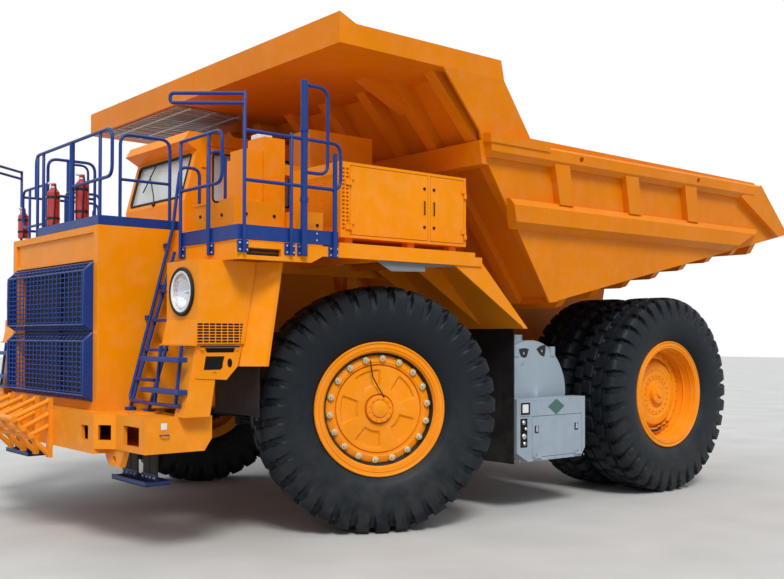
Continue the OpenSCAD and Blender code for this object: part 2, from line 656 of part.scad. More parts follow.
module fuel_tank() color(grey) truck() {
    translate([tank_x0, tank_y, tank_z]) rotate([0, 90, 0]) rotate_extrude($fn = 64)
        polygon([[0, 0], [tank_r - 60, 0], [tank_r, 60], [tank_r, tank_x1 - tank_x0 - 60],
            [tank_r - 60, tank_x1 - tank_x0], [0, tank_x1 - tank_x0 + 60]]);
    // Bracket to the frame rail
    block([frame_half, tank_y - 200, 1300], [tank_x0 + 10, tank_y + 200, 1560]);
    // Lugs on the near end and the filler neck on top
    for (y = [-330, 330]) block([tank_x1 - 40, tank_y + y - 40, 1860], [tank_x1 + 14, tank_y + y + 40, 1980]);
    translate([tank_x1 - 300, tank_y, tank_z + tank_r - 20]) cylinder(h = 90, r = 70, $fn = 32);
}

box_y0 = 1660;
box_y1 = 2900;
box_z0 = 610;
box_z1 = 1360;
box_x1 = 2700;
box_fold = 1150;
box_hinges = [2000, 2750];

module equipment_box() color(grey) truck() {
    difference() {
        across(2150, box_x1, [[box_y0, box_z1], [box_y1, box_z1], [box_y1, 720], [box_y1 - 80, box_z0],
            [box_y0 + 190, box_z0], [box_y0, 720]]);
        block([2170, box_y0 + 260, box_z0 + 40], [box_x1 + 10, box_y1 - 60, box_fold]);
        translate([tank_x0, tank_y, tank_z]) rotate([0, 90, 0])
            cylinder(h = tank_x1 - tank_x0 + 100, r = tank_r + fit, $fn = 64);
    }
    // Fixed knuckles of the door's hinges
    for (y = box_hinges) {
        translate([box_x1 + hinge_out, y - 58, box_z0 + 40]) rotate([-90, 0, 0]) cylinder(h = 56, r = hinge_r, $fn = 24);
        block([box_x1, y - 58, box_z0 + 10], [box_x1 + hinge_out, y - 2, box_z0 + 40]);
    }
}

module equipment_door() color(grey) truck() {
    block([box_x1 - 25, box_y0 + 260 + door_gap, box_z0 + 40 + door_gap],
        [box_x1, box_y1 - 60 - door_gap, box_fold - door_gap]);
    for (y = box_hinges) {
        translate([box_x1 + hinge_out, y, box_z0 + 40]) rotate([-90, 0, 0]) cylinder(h = 56, r = hinge_r, $fn = 24);
        block([box_x1, y, box_z0 + 40], [box_x1 + hinge_out, y + 56, box_z0 + 90]);
    }
}

module side_tank() color(orange) truck() {
    raised(700, 1700, [[-2450, 1700], [-1560, 1700], [-1500, 1760], [-1500, 2790], [-1560, 2850], [-2450, 2850],
        [-2510, 2790], [-2510, 1760]]);
    block([-1510, 2050, 1300], [-frame_half, 2350, 1560]);
    // Straps around the tank
    for (y = [1980, 2520]) block([-2522, y, 690], [-1490, y + 60, 1712]);
}

flap_y = -1840;

module mud_flaps() color(black) truck() both_sides() {
    block([1560, 1600, 600], [2700, 1615, 2200]);
    // Front flap hung from a shelf behind the fender
    block([1730, flap_y, 1320], [2570, flap_y + 12, fender_low + 60]);
    block([1730, fender_y(fender_low + 40) + 36.4, fender_low + 30], [2560, flap_y + 6, fender_low + 50]);
}

// Front suspension: axle beam with kingpin eyes and two struts
beam_z = 1250;
kingpin_r = 75;

module front_axle() color(black) truck() {
    difference() {
        union() {
            block([-kingpin_x + 60, -170, beam_z - 150], [kingpin_x - 60, 170, beam_z + 150]);
            both_sides() translate([kingpin_x, 0, beam_z - 200]) cylinder(h = 400, r = 170, $fn = 48);
        }
        both_sides() translate([kingpin_x, 0, beam_z - 210]) cylinder(h = 420, r = kingpin_r + fit, $fn = 48);
    }
    both_sides() {
        translate([880, 0, beam_z + 150]) cylinder(h = 400, r = 110, $fn = 32);
        translate([880, 0, 1700]) cylinder(h = 400, r = 150, $fn = 32);
        block([frame_half, -120, 1950], [800, 120, strut_top]);
        // Barrel pin of the steering cylinder
        translate([barrel_pin[0], barrel_pin[1], beam_z + 100]) cylinder(h = 360, r = 35, $fn = 24);
        block([barrel_pin[0] - 60, barrel_pin[1] - 60, beam_z + 60], [barrel_pin[0] + 60, -100, beam_z + 120]);
    }
}

axle_end = twin_inner_x + 690;

module rear_axle() color(black) truck() translate([0, wheelbase, tyre_r]) {
    rotate([0, 90, 0]) rotate_extrude($fn = 64)
        polygon([[0, -axle_end], [300, -axle_end], [300, -700], [480, -320], [480, 320], [300, 700],
            [300, axle_end], [0, axle_end]]);
    // Arms forward to the frame, and struts up to it
    both_sides() {
        bar([250, -300, 0], [250, -1250, -60], 160);
        bar([frame_half + 60.3 + 90, 250, 200], [frame_half + 60.3 + 90, 420, 640], 180);
    }
    block([-frame_half + rail_w, -1300, -150], [frame_half - rail_w, -1140, 60]);
}

// Steering geometry about one pivot, in straight-ahead position
arm_tie = [0, 520];
arm_rod = [-100, -420];
barrel_pin = [660, -340];
arm_z = 1500;
tie_z = 980;

module knuckle() {
    rotate([0, 0, steer_rest]) {
        translate([0, 0, beam_z - 330]) cylinder(h = 120, r = 170, $fn = 48);
        translate([0, 0, beam_z + 210]) cylinder(h = 120, r = 170, $fn = 48);
        // Plate outside the eye that carries the spindle
        block([175, -260, beam_z - 330], [260, 260, beam_z + 330]);
        block([0, -160, beam_z + 210], [200, 160, beam_z + 330]);
        block([0, -160, beam_z - 330], [200, 160, beam_z - 210]);
        translate([0, 0, beam_z - 320]) cylinder(h = 640, r = kingpin_r, $fn = 48);
        translate([200, 0, tyre_r]) rotate([0, 90, 0]) cylinder(h = wheel_offset - 105, r = 190, $fn = 48);
        // Rear arm with the tie rod's pin
        bar([60, 100, tie_z + 20], [arm_tie[0], arm_tie[1], tie_z + 20], 90);
        block([0, -100, tie_z - 60], [120, 120, beam_z - 210]);
        translate([arm_tie[0], arm_tie[1], tie_z - 30]) cylinder(h = 100, r = 70, $fn = 32);
        translate([arm_tie[0], arm_tie[1], tie_z - 150]) cylinder(h = 130, r = 35, $fn = 32);
        // Front arm under the cylinder's rod
        bar([40, -100, beam_z + 270], [arm_rod[0], arm_rod[1], beam_z + 270], 90);
        translate([arm_rod[0], arm_rod[1], beam_z + 220]) cylinder(h = 100, r = 70, $fn = 32);
    }
}

module knuckle_near() color(black) truck() translate([kingpin_x, 0, 0]) knuckle();
// The far knuckle is the near one seen in a mirror, turned the same way as it
module far_side() {
    mirror([1, 0, 0]) children();
}
module knuckle_far() color(black) truck() translate([-kingpin_x, 0, 0]) rotate([0, 0, steer_rest])
    far_side() rotate([0, 0, -steer_rest]) knuckle();

function turned(p, a) = [p[0] * cos(a) - p[1] * sin(a), p[0] * sin(a) + p[1] * cos(a)];
tie_near = turned(arm_tie, steer_rest) + [kingpin_x, 0];
tie_far = turned([-arm_tie[0], arm_tie[1]], steer_rest) - [kingpin_x, 0];
rod_near = turned(arm_rod, steer_rest) + [kingpin_x, 0];
rod_far = turned([-arm_rod[0], arm_rod[1]], steer_rest) - [kingpin_x, 0];

module tie_rod() color(black) truck() {
    z = tie_z - 90;
    difference() {
        union() {
            bar([tie_near[0], tie_near[1], z], [tie_far[0], tie_far[1], z], 70);
            for (p = [tie_near, tie_far]) translate([p[0], p[1], z - 50]) cylinder(h = 100, r = 65, $fn = 32);
        }
        for (p = [tie_near, tie_far]) translate([p[0], p[1], z - 60]) cylinder(h = 120, r = 36, $fn = 32);
    }
}

cyl_z = beam_z + 390;
barrel_near = barrel_pin;
barrel_far = [-barrel_pin[0], barrel_pin[1]];
barrel_len = 620;
rod_d = 60;

module steer_barrel(p, q) {
    d = (q - p) / norm(q - p);
    a = p + d * 50;
    b = p + d * barrel_len;
    difference() {
        union() {
            bar([a[0], a[1], cyl_z], [b[0], b[1], cyl_z], 130, 24);
            translate([p[0], p[1], cyl_z - 60]) cylinder(h = 120, r = 70, $fn = 32);
        }
        translate([p[0], p[1], cyl_z - 70]) cylinder(h = 140, r = 35 + fit, $fn = 32);
        e = p + d * 80;
        f = p + d * (barrel_len + 10);
        bar([e[0], e[1], cyl_z], [f[0], f[1], cyl_z], rod_d + 2, 24);
    }
}

// The rod starts at a length inside the barrel that lets it slide both ways
module steer_rod(p, q, start) {
    d = (q - p) / norm(q - p);
    a = p + d * start;
    bar([a[0], a[1], cyl_z], [q[0], q[1], cyl_z], rod_d, 24);
    translate([q[0], q[1], cyl_z - 60]) cylinder(h = 120, r = 60, $fn = 32);
}

module steer_barrel_near() color(black) truck() steer_barrel(barrel_near, rod_near);
module steer_barrel_far() color(black) truck() steer_barrel(barrel_far, rod_far);
module steer_rod_near() color(grey) truck() steer_rod(barrel_near, rod_near, 185);
module steer_rod_far() color(grey) truck() steer_rod(barrel_far, rod_far, 515);

// Wheels turn about x, with the outer side at plus x
rim_half = 280;
rim_r = 724;
bead_r = 640;

// One rim seen from its middle plane, open towards its outer side
module rim(dish, hub_r) {
    rotate([0, 90, 0]) rotate_extrude($fn = 64)
        polygon([[bead_r - 40, -rim_half], [rim_r, -rim_half], [rim_r, -rim_half + 40], [bead_r, -rim_half + 80],
            [bead_r, rim_half - 80], [rim_r, rim_half - 40], [rim_r, rim_half], [bead_r - 10, rim_half],
            [bead_r - 60, dish + 60], [hub_r, dish + 60], [hub_r, dish - 40], [bead_r - 60, dish - 40]]);
}

function at_angle(r, a) = [r * cos(a), r * sin(a)];
shoulder_r = 1150;
// One lug and the gap after it, as share of the pitch and depth below the lug's top
lug_shape = [[0, 0], [0.56, 0], [0.62, lug_depth + 40], [0.94, lug_depth + 40]];
// The ring of lugs on one shoulder, cut to the tyre's rounded outline
module shoulder_lugs(x0, x1, start) {
    pitch = 360 / lug_count;
    intersection() {
        rotate([0, 90, 0]) translate([0, 0, x0]) linear_extrude(x1 - x0) difference() {
            polygon([for (i = [0 : lug_count - 1]) for (p = lug_shape)
                at_angle(tyre_r + 10 - p[1], start + (i + p[0]) * pitch)]);
            circle(r = shoulder_r, $fn = 96);
        }
        rotate([0, 90, 0]) rotate_extrude($fn = 96) polygon([[shoulder_r - 50, -tyre_w / 2 + 10], [1210, -tyre_w / 2 + 6],
            [1295, -tyre_w / 2 + 40], [tyre_r, -tyre_w / 2 + 110], [tyre_r, tyre_w / 2 - 110],
            [1295, tyre_w / 2 - 40], [1210, tyre_w / 2 - 6], [shoulder_r - 50, tyre_w / 2 - 10]]);
    }
}
module tyre() {
    rotate([0, 90, 0]) rotate_extrude($fn = 96)
        polygon([[bead_r + fit, -rim_half + 82], [rim_r + fit, -rim_half + 40], [760, -rim_half - 20],
            [960, -tyre_w / 2], [1130, -tyre_w / 2 + 5], [1220, -tyre_w / 2 + 60], [tyre_r - lug_depth, -tyre_w / 2 + 150],
            [tyre_r - lug_depth, tyre_w / 2 - 150], [1220, tyre_w / 2 - 60], [1130, tyre_w / 2 - 5], [960, tyre_w / 2],
            [760, rim_half + 20], [rim_r + fit, rim_half - 40], [bead_r + fit, rim_half - 82]]);
    shoulder_lugs(-tyre_w / 2, -12, 0);
    shoulder_lugs(12, tyre_w / 2, 5);
}

module front_hub() {
    difference() {
        rotate([0, 90, 0]) rotate_extrude($fn = 64)
            polygon([[0, 100], [190.5, 100], [190.5, -140], [300, -140], [520, 60], [bead_r - 60, 80], [bead_r - 60, 180],
                [485, 200], [470, 170], [150, 190], [140, 250], [0, 250]]);
        rotate([0, 90, 0]) translate([0, 0, -300]) cylinder(h = 420, r = 190 + fit, $fn = 48);
    }
}

module front_wheel_at(side) {
    translate([side * kingpin_x, 0, tyre_r]) rotate([0, 0, steer_rest])
        translate([side * wheel_offset, 0, 0]) mirror([side < 0 ? 1 : 0, 0, 0]) children();
}

module front_rim() {
    rim(120, 560);
    front_hub();
}

module front_rim_near() color(orange) truck() front_wheel_at(1) front_rim();
module front_tyre_near() color(black) truck() front_wheel_at(1) tyre();
module front_rim_far() color(orange) truck() front_wheel_at(-1) front_rim();
module front_tyre_far() color(black) truck() front_wheel_at(-1) tyre();

module rear_wheel_at(side) {
    translate([side * twin_inner_x, wheelbase, tyre_r]) mirror([side < 0 ? 1 : 0, 0, 0]) children();
}

module rear_rims() {
    rim(-60, 480);
    translate([twin_gap, 0, 0]) rim(-60, 480);
    // Hub drum through both rims, running on the axle's end
    rotate([0, 90, 0]) rotate_extrude($fn = 64)
        polygon([[300.5, -380], [480.5, -380], [480.5, twin_gap - 20], [430, twin_gap + 40], [150, twin_gap + 60],
            [140, twin_gap + 110], [0, twin_gap + 110], [0, 700], [300.5, 700]]);
}

module rear_rims_near() color(orange) truck() rear_wheel_at(1) rear_rims();
module rear_rims_far() color(orange) truck() rear_wheel_at(-1) rear_rims();
module rear_tyres_near() color(black) truck() rear_wheel_at(1) { tyre(); translate([twin_gap, 0, 0]) tyre(); }
module rear_tyres_far() color(black) truck() rear_wheel_at(-1) { tyre(); translate([twin_gap, 0, 0]) tyre(); }

// The outline of the bed's side, as [y, z]
side_outline = [[bed_front, bed_low], [bed_tail - 10, floor_z(bed_tail - 10)], [6460, bed_top + 20],
    [1620, bed_top + 60], [canopy_rear, canopy_low], [neck_y, canopy_low], [rail_front - 60, bed_top + 40],
    [rail_front + 60, bed_top - 240]];

// Everything between the two leaning sides
module between_sides(margin = 0) {
    low = 1500;
    high = 5600;
    translate([0, 8000, 0]) rotate([90, 0, 0]) linear_extrude(11000)
        polygon([[-side_x(low) - margin, low], [side_x(low) + margin, low], [side_x(high) + margin, high],
            [-side_x(high) - margin, high]]);
}

// A slab of the near side within an outline of [y, z] points
module side_slab(points, inset, proud) {
    intersection() {
        across(2000, 3400, points);
        difference() {
            between_sides(proud);
            between_sides(-inset);
        }
    }
}

// A rail along the near side: its section as [out of the side, up the side], cut to an outline of [y, z] points
module side_rail(section, points) {
    intersection() {
        across(2000, 3400, points);
        translate([bed_half, bed_tail, bed_low]) rotate([0, bed_lean, 0]) rotate([90, 0, 0])
            linear_extrude(bed_tail) polygon(section);
    }
}

function up_side(z) = (z - bed_low) / cos(bed_lean);

module bed() color(orange) truck() {
    rib = rib_depth;
    both_sides() {
        side_slab(side_outline, plate_t, 0);
        // Top rail with its cap plate, and the middle rail, all with bevelled edges
        difference() {
            side_rail([[-20, up_side(4130)], [60, up_side(4130)], [110, up_side(4200)], [110, up_side(4320)],
                [90, up_side(4345)], [-20, up_side(4345)]],
                [[rail_front, bed_top], [rail_front + 80, bed_top - 300], [6230, bed_top - 300], [6450, bed_top - 30]]);
            for (y = [2440, 4900]) translate([side_x(4250) + 60, y, 4250]) rotate([0, 90, 0]) cylinder(h = 90, r = 36, $fn = 24);
        }
        side_rail([[-20, up_side(4290)], [125, up_side(4290)], [125, up_side(4385)], [-20, up_side(4385)]],
            [[rail_front + 5, bed_top - 100], [1860, bed_top - 100], [1830, bed_top + 40], [rail_front - 20, bed_top + 40]]);
        side_rail([[-20, up_side(3360)], [30, up_side(3360)], [120, up_side(3450)], [120, up_side(3640)],
            [60, up_side(3710)], [-20, up_side(3710)]],
            [[1310, 3700], [1430, 3330], [5850, 3330], [6640, 3720]]);
        // Ribs between the rails and the corner post at the tail
        for (y = [1980, 3330, 4620])
            side_slab([[y, bed_top - 200], [y + 170, 3690], [y + 420, 3690], [y + 270, bed_top - 200]], 20, 95);
        side_slab([[6000, bed_top - 220], [6500, bed_top - 20], [bed_tail - 10, floor_z(bed_tail - 10) + 20],
            [7150, floor_z(7150) + 20]], 20, 100);
    }
    intersection() {
        between_sides(-1);
        union() {
            // Floor
            across(-3000, 3000, [[bed_front, bed_low], [bed_tail, floor_z(bed_tail)],
                [bed_tail - 20, floor_z(bed_tail) + 60], [bed_front + 40, bed_low + 60]]);
            // Front wall
            across(-3000, 3000, [[bed_front, bed_low], [bed_front + rib, bed_low + 40], [rail_front + rib + 60, bed_top - 80],
                [neck_y + rib + 200, canopy_low + 10], [neck_y + rib + 120, canopy_low + 10],
                [rail_front + rib, bed_top - 80], [bed_front + rib - 60, bed_low]]);
            for (x = wall_ribs) across(x - 80, x + 80, [[bed_front, bed_low],
                [bed_front + rib, bed_low + 20], [rail_front + rib + 20, bed_top - 80],
                [neck_y + rib + 130, canopy_low + 10], [neck_y, canopy_low + 10], [rail_front, bed_top - 80]]);
            across(-3000, 3000, [[rail_front - 60, bed_top - 60], [rail_front + 200, bed_top - 60],
                [rail_front + 240, bed_top - 310], [rail_front + 20, bed_top - 310]]);
        }
    }
    // Canopy with its deep front lip, and the gussets under it
    across(-canopy_half, canopy_half, [[-canopy_front, canopy_low], [-canopy_front, canopy_top],
        [-1000, canopy_top - 90], [canopy_rear - 40, canopy_top - 90], [canopy_rear + 10, canopy_low - 10]]);
    both_sides() across(1950, 2150, [[-220, canopy_low + 5], [neck_y + 60, canopy_low + 5], [530, 4690], [470, 4690]]);
    // Bolsters under the floor, square to it, and the deeper one at the tail
    for (y = concat([for (i = [0 : 6]) 2720 + i * 660], [bed_tail - 250])) {
        deep = y > 7000 ? bolster_h * 1.5 : bolster_h;
        translate([0, y, floor_z(y)]) rotate([floor_slope, 0, 0]) rotate([90, 0, 0]) linear_extrude(140)
            polygon([[-2600, 10], [2600, 10], [2450, -deep], [-2450, -deep]]);
    }
}
wall_ribs = [-2770, -2120, -1540, -770, 0, 770, 1540, 2120, 2770];

module bed_frame() color(orange) truck() both_sides() {
    under = bolster_h / cos(floor_slope) + fit;
    difference() {
        union() {
            across(400, 540, [[2500, frame_top + fit], [pivot_y - 160, frame_top + fit], [pivot_y + 200, 2400],
                [pivot_y + 400, floor_z(pivot_y + 400) - under], [2500, floor_z(2500) - under]]);
            translate([400, pivot_y, pivot_z]) rotate([0, 90, 0]) cylinder(h = 140, r = 170, $fn = 48);
        }
        translate([390, pivot_y, pivot_z]) rotate([0, 90, 0]) cylinder(h = 160, r = pivot_r + fit, $fn = 48);
    }
    // Bracket beside the hoist rod's eye
    across(hoist_x - 180, hoist_x - 100, [[hoist_eye[0] - 120, hoist_eye[1] - 100], [hoist_eye[0] + 120, hoist_eye[1] - 100],
        [hoist_eye[0] + 200, floor_z(hoist_eye[0] + 200) - fit], [hoist_eye[0] - 200, floor_z(hoist_eye[0] - 200) - fit]]);
}

module along_hoist() {
    both_sides() translate([hoist_x, hoist_low[0], hoist_low[1]]) rotate([-hoist_lean, 0, 0]) children();
}

hoist_barrel = hoist_len - 160;

module hoist_barrels() color(black) truck() along_hoist() difference() {
    union() {
        rotate([0, 90, 0]) cylinder(h = 160, r = 120, center = true, $fn = 48);
        translate([0, 0, 60]) cylinder(h = hoist_barrel - 60, r = 150, $fn = 48);
    }
    rotate([0, 90, 0]) cylinder(h = 320, r = 70 + fit, center = true, $fn = 48);
    translate([0, 0, 130]) cylinder(h = hoist_barrel, r = 125 + fit, $fn = 48);
}

module hoist_outer() color(grey) truck() along_hoist() difference() {
    translate([0, 0, 135]) cylinder(h = hoist_barrel - 115, r = 125, $fn = 48);
    translate([0, 0, 155]) cylinder(h = hoist_barrel, r = 100 + fit, $fn = 48);
}

module hoist_inner() color(grey) truck() along_hoist() difference() {
    translate([0, 0, 160]) cylinder(h = hoist_barrel - 120, r = 100, $fn = 48);
    translate([0, 0, 180]) cylinder(h = hoist_barrel, r = 75 + fit, $fn = 48);
}

module hoist_rods() color(grey) truck() along_hoist() {
    translate([0, 0, 185]) cylinder(h = hoist_len - 225, r = 75, $fn = 48);
    translate([0, 0, hoist_len]) rotate([0, 90, 0]) cylinder(h = 170, r = 85, center = true, $fn = 48);
}

bottle_r = 68;
// Extinguishers, as middle in plan, foot and top of the bottle, and the middle and radius of the post that carries it
bottles = [[-340, -2765, 3350, 3790, -370, platform_y, tube_d / 2], [470, -2765, 3350, 3790, 460, platform_y, 30],
    [-2815, -2240, 3430, 3790, -rail_x, -2225, tube_d / 2]];

module extinguishers() color(red) truck() for (b = bottles) {
    at = [b[0], b[1]];
    toward = unit([b[4], b[5]] - at);
    edge = at + toward * (norm([b[4], b[5]] - at) - b[6] - fit);
    translate([b[0], b[1], b[2]]) rotate_extrude($fn = 32)
        polygon([[0, 0], [bottle_r - 10, 0], [bottle_r, 12], [bottle_r, b[3] - b[2] - 50], [30, b[3] - b[2]],
            [30, b[3] - b[2] + 50], [0, b[3] - b[2] + 50]]);
    translate([b[0] - 14, b[1] - 60, b[3] + 40]) cube([28, 80, 16]);
    // Clamps that reach towards the post
    for (z = [b[2] + 90, b[3] - 110]) bar([at[0], at[1], z], [edge[0], edge[1], z], 24);
}

frame();
engine();
radiator();
bumper();
front_guard();
hood();
grille_guards();
lamp_boxes();
headlamps();
deck();
fenders();
handrails();
ladders();
cab();
cab_seat();
cab_door_near();
cab_door_far();
deck_boxes();
power_cabinet();
cabinet_door_front();
cabinet_door_rear();
fuel_tank();
equipment_box();
equipment_door();
side_tank();
mud_flaps();
front_axle();
rear_axle();
extinguishers();
knuckle_near();
knuckle_far();
tie_rod();
steer_barrel_near();
steer_barrel_far();
steer_rod_near();
steer_rod_far();
front_rim_near();
front_tyre_near();
front_rim_far();
front_tyre_far();
rear_rims_near();
rear_tyres_near();
rear_rims_far();
rear_tyres_far();
bed();
bed_frame();
hoist_barrels();
hoist_outer();
hoist_inner();
hoist_rods();
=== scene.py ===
# %% [markdown]
# Mining dump truck. The imported solids are the frame: they carry the sizes and the joints, and this
# file dresses them. First the frame comes in.

# %% Load the frame
import math
import bmesh
import bpy
import numpy as np
from mathutils import Matrix, Vector


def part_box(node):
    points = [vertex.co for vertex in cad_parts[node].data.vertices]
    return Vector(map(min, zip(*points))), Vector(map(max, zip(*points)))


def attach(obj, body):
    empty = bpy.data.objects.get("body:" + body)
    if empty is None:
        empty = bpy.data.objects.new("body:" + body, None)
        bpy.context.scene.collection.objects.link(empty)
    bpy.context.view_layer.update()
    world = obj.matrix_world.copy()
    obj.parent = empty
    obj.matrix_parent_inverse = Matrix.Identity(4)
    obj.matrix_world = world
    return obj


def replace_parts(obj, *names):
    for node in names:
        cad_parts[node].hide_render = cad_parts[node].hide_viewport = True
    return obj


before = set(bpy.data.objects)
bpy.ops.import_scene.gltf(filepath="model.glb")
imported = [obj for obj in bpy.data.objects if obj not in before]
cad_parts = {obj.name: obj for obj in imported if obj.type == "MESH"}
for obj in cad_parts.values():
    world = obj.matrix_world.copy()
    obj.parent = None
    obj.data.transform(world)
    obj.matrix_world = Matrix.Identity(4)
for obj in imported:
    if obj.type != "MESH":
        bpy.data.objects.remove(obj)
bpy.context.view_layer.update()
scene = bpy.context.scene

# %% [markdown]
# Lengths are written in millimetres as [across, station, height]. Stations count from the front
# axle, which lies MIDDLE ahead of the frame's origin, so one helper turns them into metres.

# %% Stations
MIDDLE = 1919.0


def place(points):
    """Millimetre points to the frame: the station loses MIDDLE, then everything is divided by 1000."""
    p = np.array(points, dtype=float)
    p[..., 1] -= MIDDLE
    return p / 1000.0


print("front axle at y", place([0, 0, 0])[1])

# %% [markdown]
# The photograph was taken ahead of the front wheel at about eye height with a normal lens. The
# turn, the height and the lens were measured from it; a small vertical shift sets the horizon.

# %% Camera
YAW, PITCH, ROLL = 0.880, 0.017, 0.002
EYE = [10893, -7038, 2101]
PHOTO_WIDTH, FOCAL, HORIZON = 784, 999.745, 30.305  # pixels
FILM = 36.0  # millimetres
look = Vector((-math.sin(YAW) * math.cos(PITCH), math.cos(YAW) * math.cos(PITCH), math.sin(PITCH)))
side = Vector((math.cos(YAW), math.sin(YAW), 0.0))
camera = bpy.data.objects.new("photo_camera", bpy.data.cameras.new("photo_camera"))
scene.collection.objects.link(camera)
camera.matrix_world = (Matrix.Translation(Vector(place(EYE)))
                       @ Matrix((side, side.cross(look), -look)).transposed().to_4x4()
                       @ Matrix.Rotation(ROLL, 4, "Z"))
camera.data.sensor_width = FILM
camera.data.lens = FOCAL / PHOTO_WIDTH * FILM
camera.data.shift_y = HORIZON / PHOTO_WIDTH
camera.data.clip_end = 300.0
scene.camera = camera
print("lens", round(camera.data.lens, 1), "mm")

# %% [markdown]
# An overcast sky lights the truck from all over with one brighter side. A pale world does the first,
# a wide sun the second. Rays from the camera, mirrors and glass see plain white behind the truck.

# %% World and sun
SKY_STRENGTH = 0.34
world = bpy.data.worlds.new("pale_sky")
scene.world = world
world.use_nodes = True
nodes, links = world.node_tree.nodes, world.node_tree.links
nodes.clear()
paths, sky, plain, mix, out = (nodes.new("ShaderNode" + kind) for kind in (
    "LightPath", "Background", "Background", "MixShader", "OutputWorld"))
sky.inputs["Color"].default_value = (0.86, 0.92, 1.0, 1)
sky.inputs["Strength"].default_value = SKY_STRENGTH
plain.inputs["Color"].default_value = (1, 1, 1, 1)
seen = paths.outputs["Is Camera Ray"]
for ray in ("Is Transmission Ray", "Is Glossy Ray"):
    larger = nodes.new("ShaderNodeMath")
    larger.operation = "MAXIMUM"
    links.new(seen, larger.inputs[0])
    links.new(paths.outputs[ray], larger.inputs[1])
    seen = larger.outputs[0]
for source, target in ((seen, mix.inputs[0]), (sky.outputs[0], mix.inputs[1]),
                       (plain.outputs[0], mix.inputs[2]), (mix.outputs[0], out.inputs["Surface"])):
    links.new(source, target)


def sun(name, energy, colour, turn, width):
    """A sun turned by three angles and as wide as an angle, all in degrees."""
    data = bpy.data.lights.new(name, "SUN")
    data.energy, data.color, data.angle = energy, colour, math.radians(width)
    obj = bpy.data.objects.new(name, data)
    obj.rotation_euler = [math.radians(a) for a in turn]
    scene.collection.objects.link(obj)


sun("soft_sun", 2.3, (1.0, 0.97, 0.92), (44, 0, 58), 16)
sun("cloud_dome", 1.5, (0.93, 0.97, 1.0), (8, 0, 20), 120)
print("lights", len(bpy.data.lights))


# %% [markdown]
# Every new piece is a set of points and faces worked out with numpy. One helper makes the mesh,
# turns the faces outwards, keeps creases sharp past an angle, and rides the piece on its body.

# %% Mesh helper
def join(shapes):
    """Shapes laid one after another: their points are stacked and face numbers shifted."""
    points, faces, count = [], [], 0
    for v, f in shapes:
        points.append(np.asarray(v, float).reshape(-1, 3))
        faces += [[i + count for i in one] for one in (f.tolist() if isinstance(f, np.ndarray) else f)]
        count += len(points[-1])
    return np.concatenate(points), faces


def piece(name, shapes, material, body="chassis", slot=None, crease=35):
    """A mesh object at the origin from shapes given in millimetres. Its slot, as given or as SLOT_OF names
    it for its finish, is worked out but not used."""
    points, faces = join(shapes)
    mesh = bpy.data.meshes.new(name)
    mesh.from_pydata(place(points).tolist(), [], faces)
    work = bmesh.new()
    work.from_mesh(mesh)
    bmesh.ops.recalc_face_normals(work, faces=work.faces)
    work.to_mesh(mesh)
    work.free()
    mesh.polygons.foreach_set("use_smooth", np.ones(len(mesh.polygons), bool))
    mesh.set_sharp_from_angle(angle=math.radians(crease))
    mesh.materials.append(material)
    obj = bpy.data.objects.new(name, mesh)
    scene.collection.objects.link(obj)
    slot = slot or SLOT_OF[material]
    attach(obj, body)
    print(name, "faces", len(faces))
    return obj


# %% [markdown]
# Four ways to make a surface cover almost everything on the truck: a grid bent by a formula, a
# profile turned about an axis, a circle carried along a path, and a block with its edges cut.

# %% Grids and turned shapes
def grid(rows, columns, wrap_rows=False, wrap_columns=True):
    """Face numbers of a rows by columns grid of points, joined end to start where it wraps."""
    r = np.arange(rows if wrap_rows else rows - 1)[:, None]
    c = np.arange(columns if wrap_columns else columns - 1)[None, :]
    r2, c2 = (r + 1) % rows, (c + 1) % columns
    corners = [r * columns + c, r * columns + c2, r2 * columns + c2, r2 * columns + c]
    return np.stack(corners, -1).reshape(-1, 4)


def basis(axis):
    """Two unit vectors square to an axis, which with it make a right-handed set."""
    a = np.asarray(axis, float) / np.linalg.norm(axis)
    e = np.cross([0, 0, 1.0] if abs(a[2]) < 0.9 else [1.0, 0, 0], a)
    e /= np.linalg.norm(e)
    return e, np.cross(a, e), a


def turned(profile, at=(0, 0, 0), axis=(0, 0, 1), n=48, ring=False):
    """Profile of (radius, along) turned about an axis: a point is at plus along times the axis plus
    radius times (cos t, sin t).
    A ring joins the profile's end to its start; otherwise both ends are closed with a face."""
    e1, e2, a = basis(axis)
    t = np.arange(n) * 2 * np.pi / n
    p = np.asarray(profile, float)
    spoke = np.cos(t)[:, None] * e1 + np.sin(t)[:, None] * e2
    v = np.asarray(at, float) + p[:, 1, None, None] * a + p[:, 0, None, None] * spoke[None]
    faces = grid(len(p), n, wrap_rows=ring).tolist()
    if not ring:
        faces += [list(range(n))[::-1], list(range((len(p) - 1) * n, len(p) * n))]
    return v.reshape(-1, 3), faces


def copies(shape, points, turns=None):
    """One small shape at many points: every copy is the shape times its turn plus the point."""
    v, f = shape
    points = np.atleast_2d(np.asarray(points, float))
    v = np.asarray(v, float)
    many = (v[None] if turns is None else np.einsum("nij,vj->nvi", turns, v)) + points[:, None]
    faces = [[i + k * len(v) for i in one] for k in range(len(points)) for one in f]
    return many.reshape(-1, 3), faces


print("helpers", join.__name__, piece.__name__, turned.__name__)

# %% [markdown]
# Rails, ladders and hoses are bent tube. A circle slides along the path, and carrying its sides on
# from point to point keeps the tube from twisting at a bend.

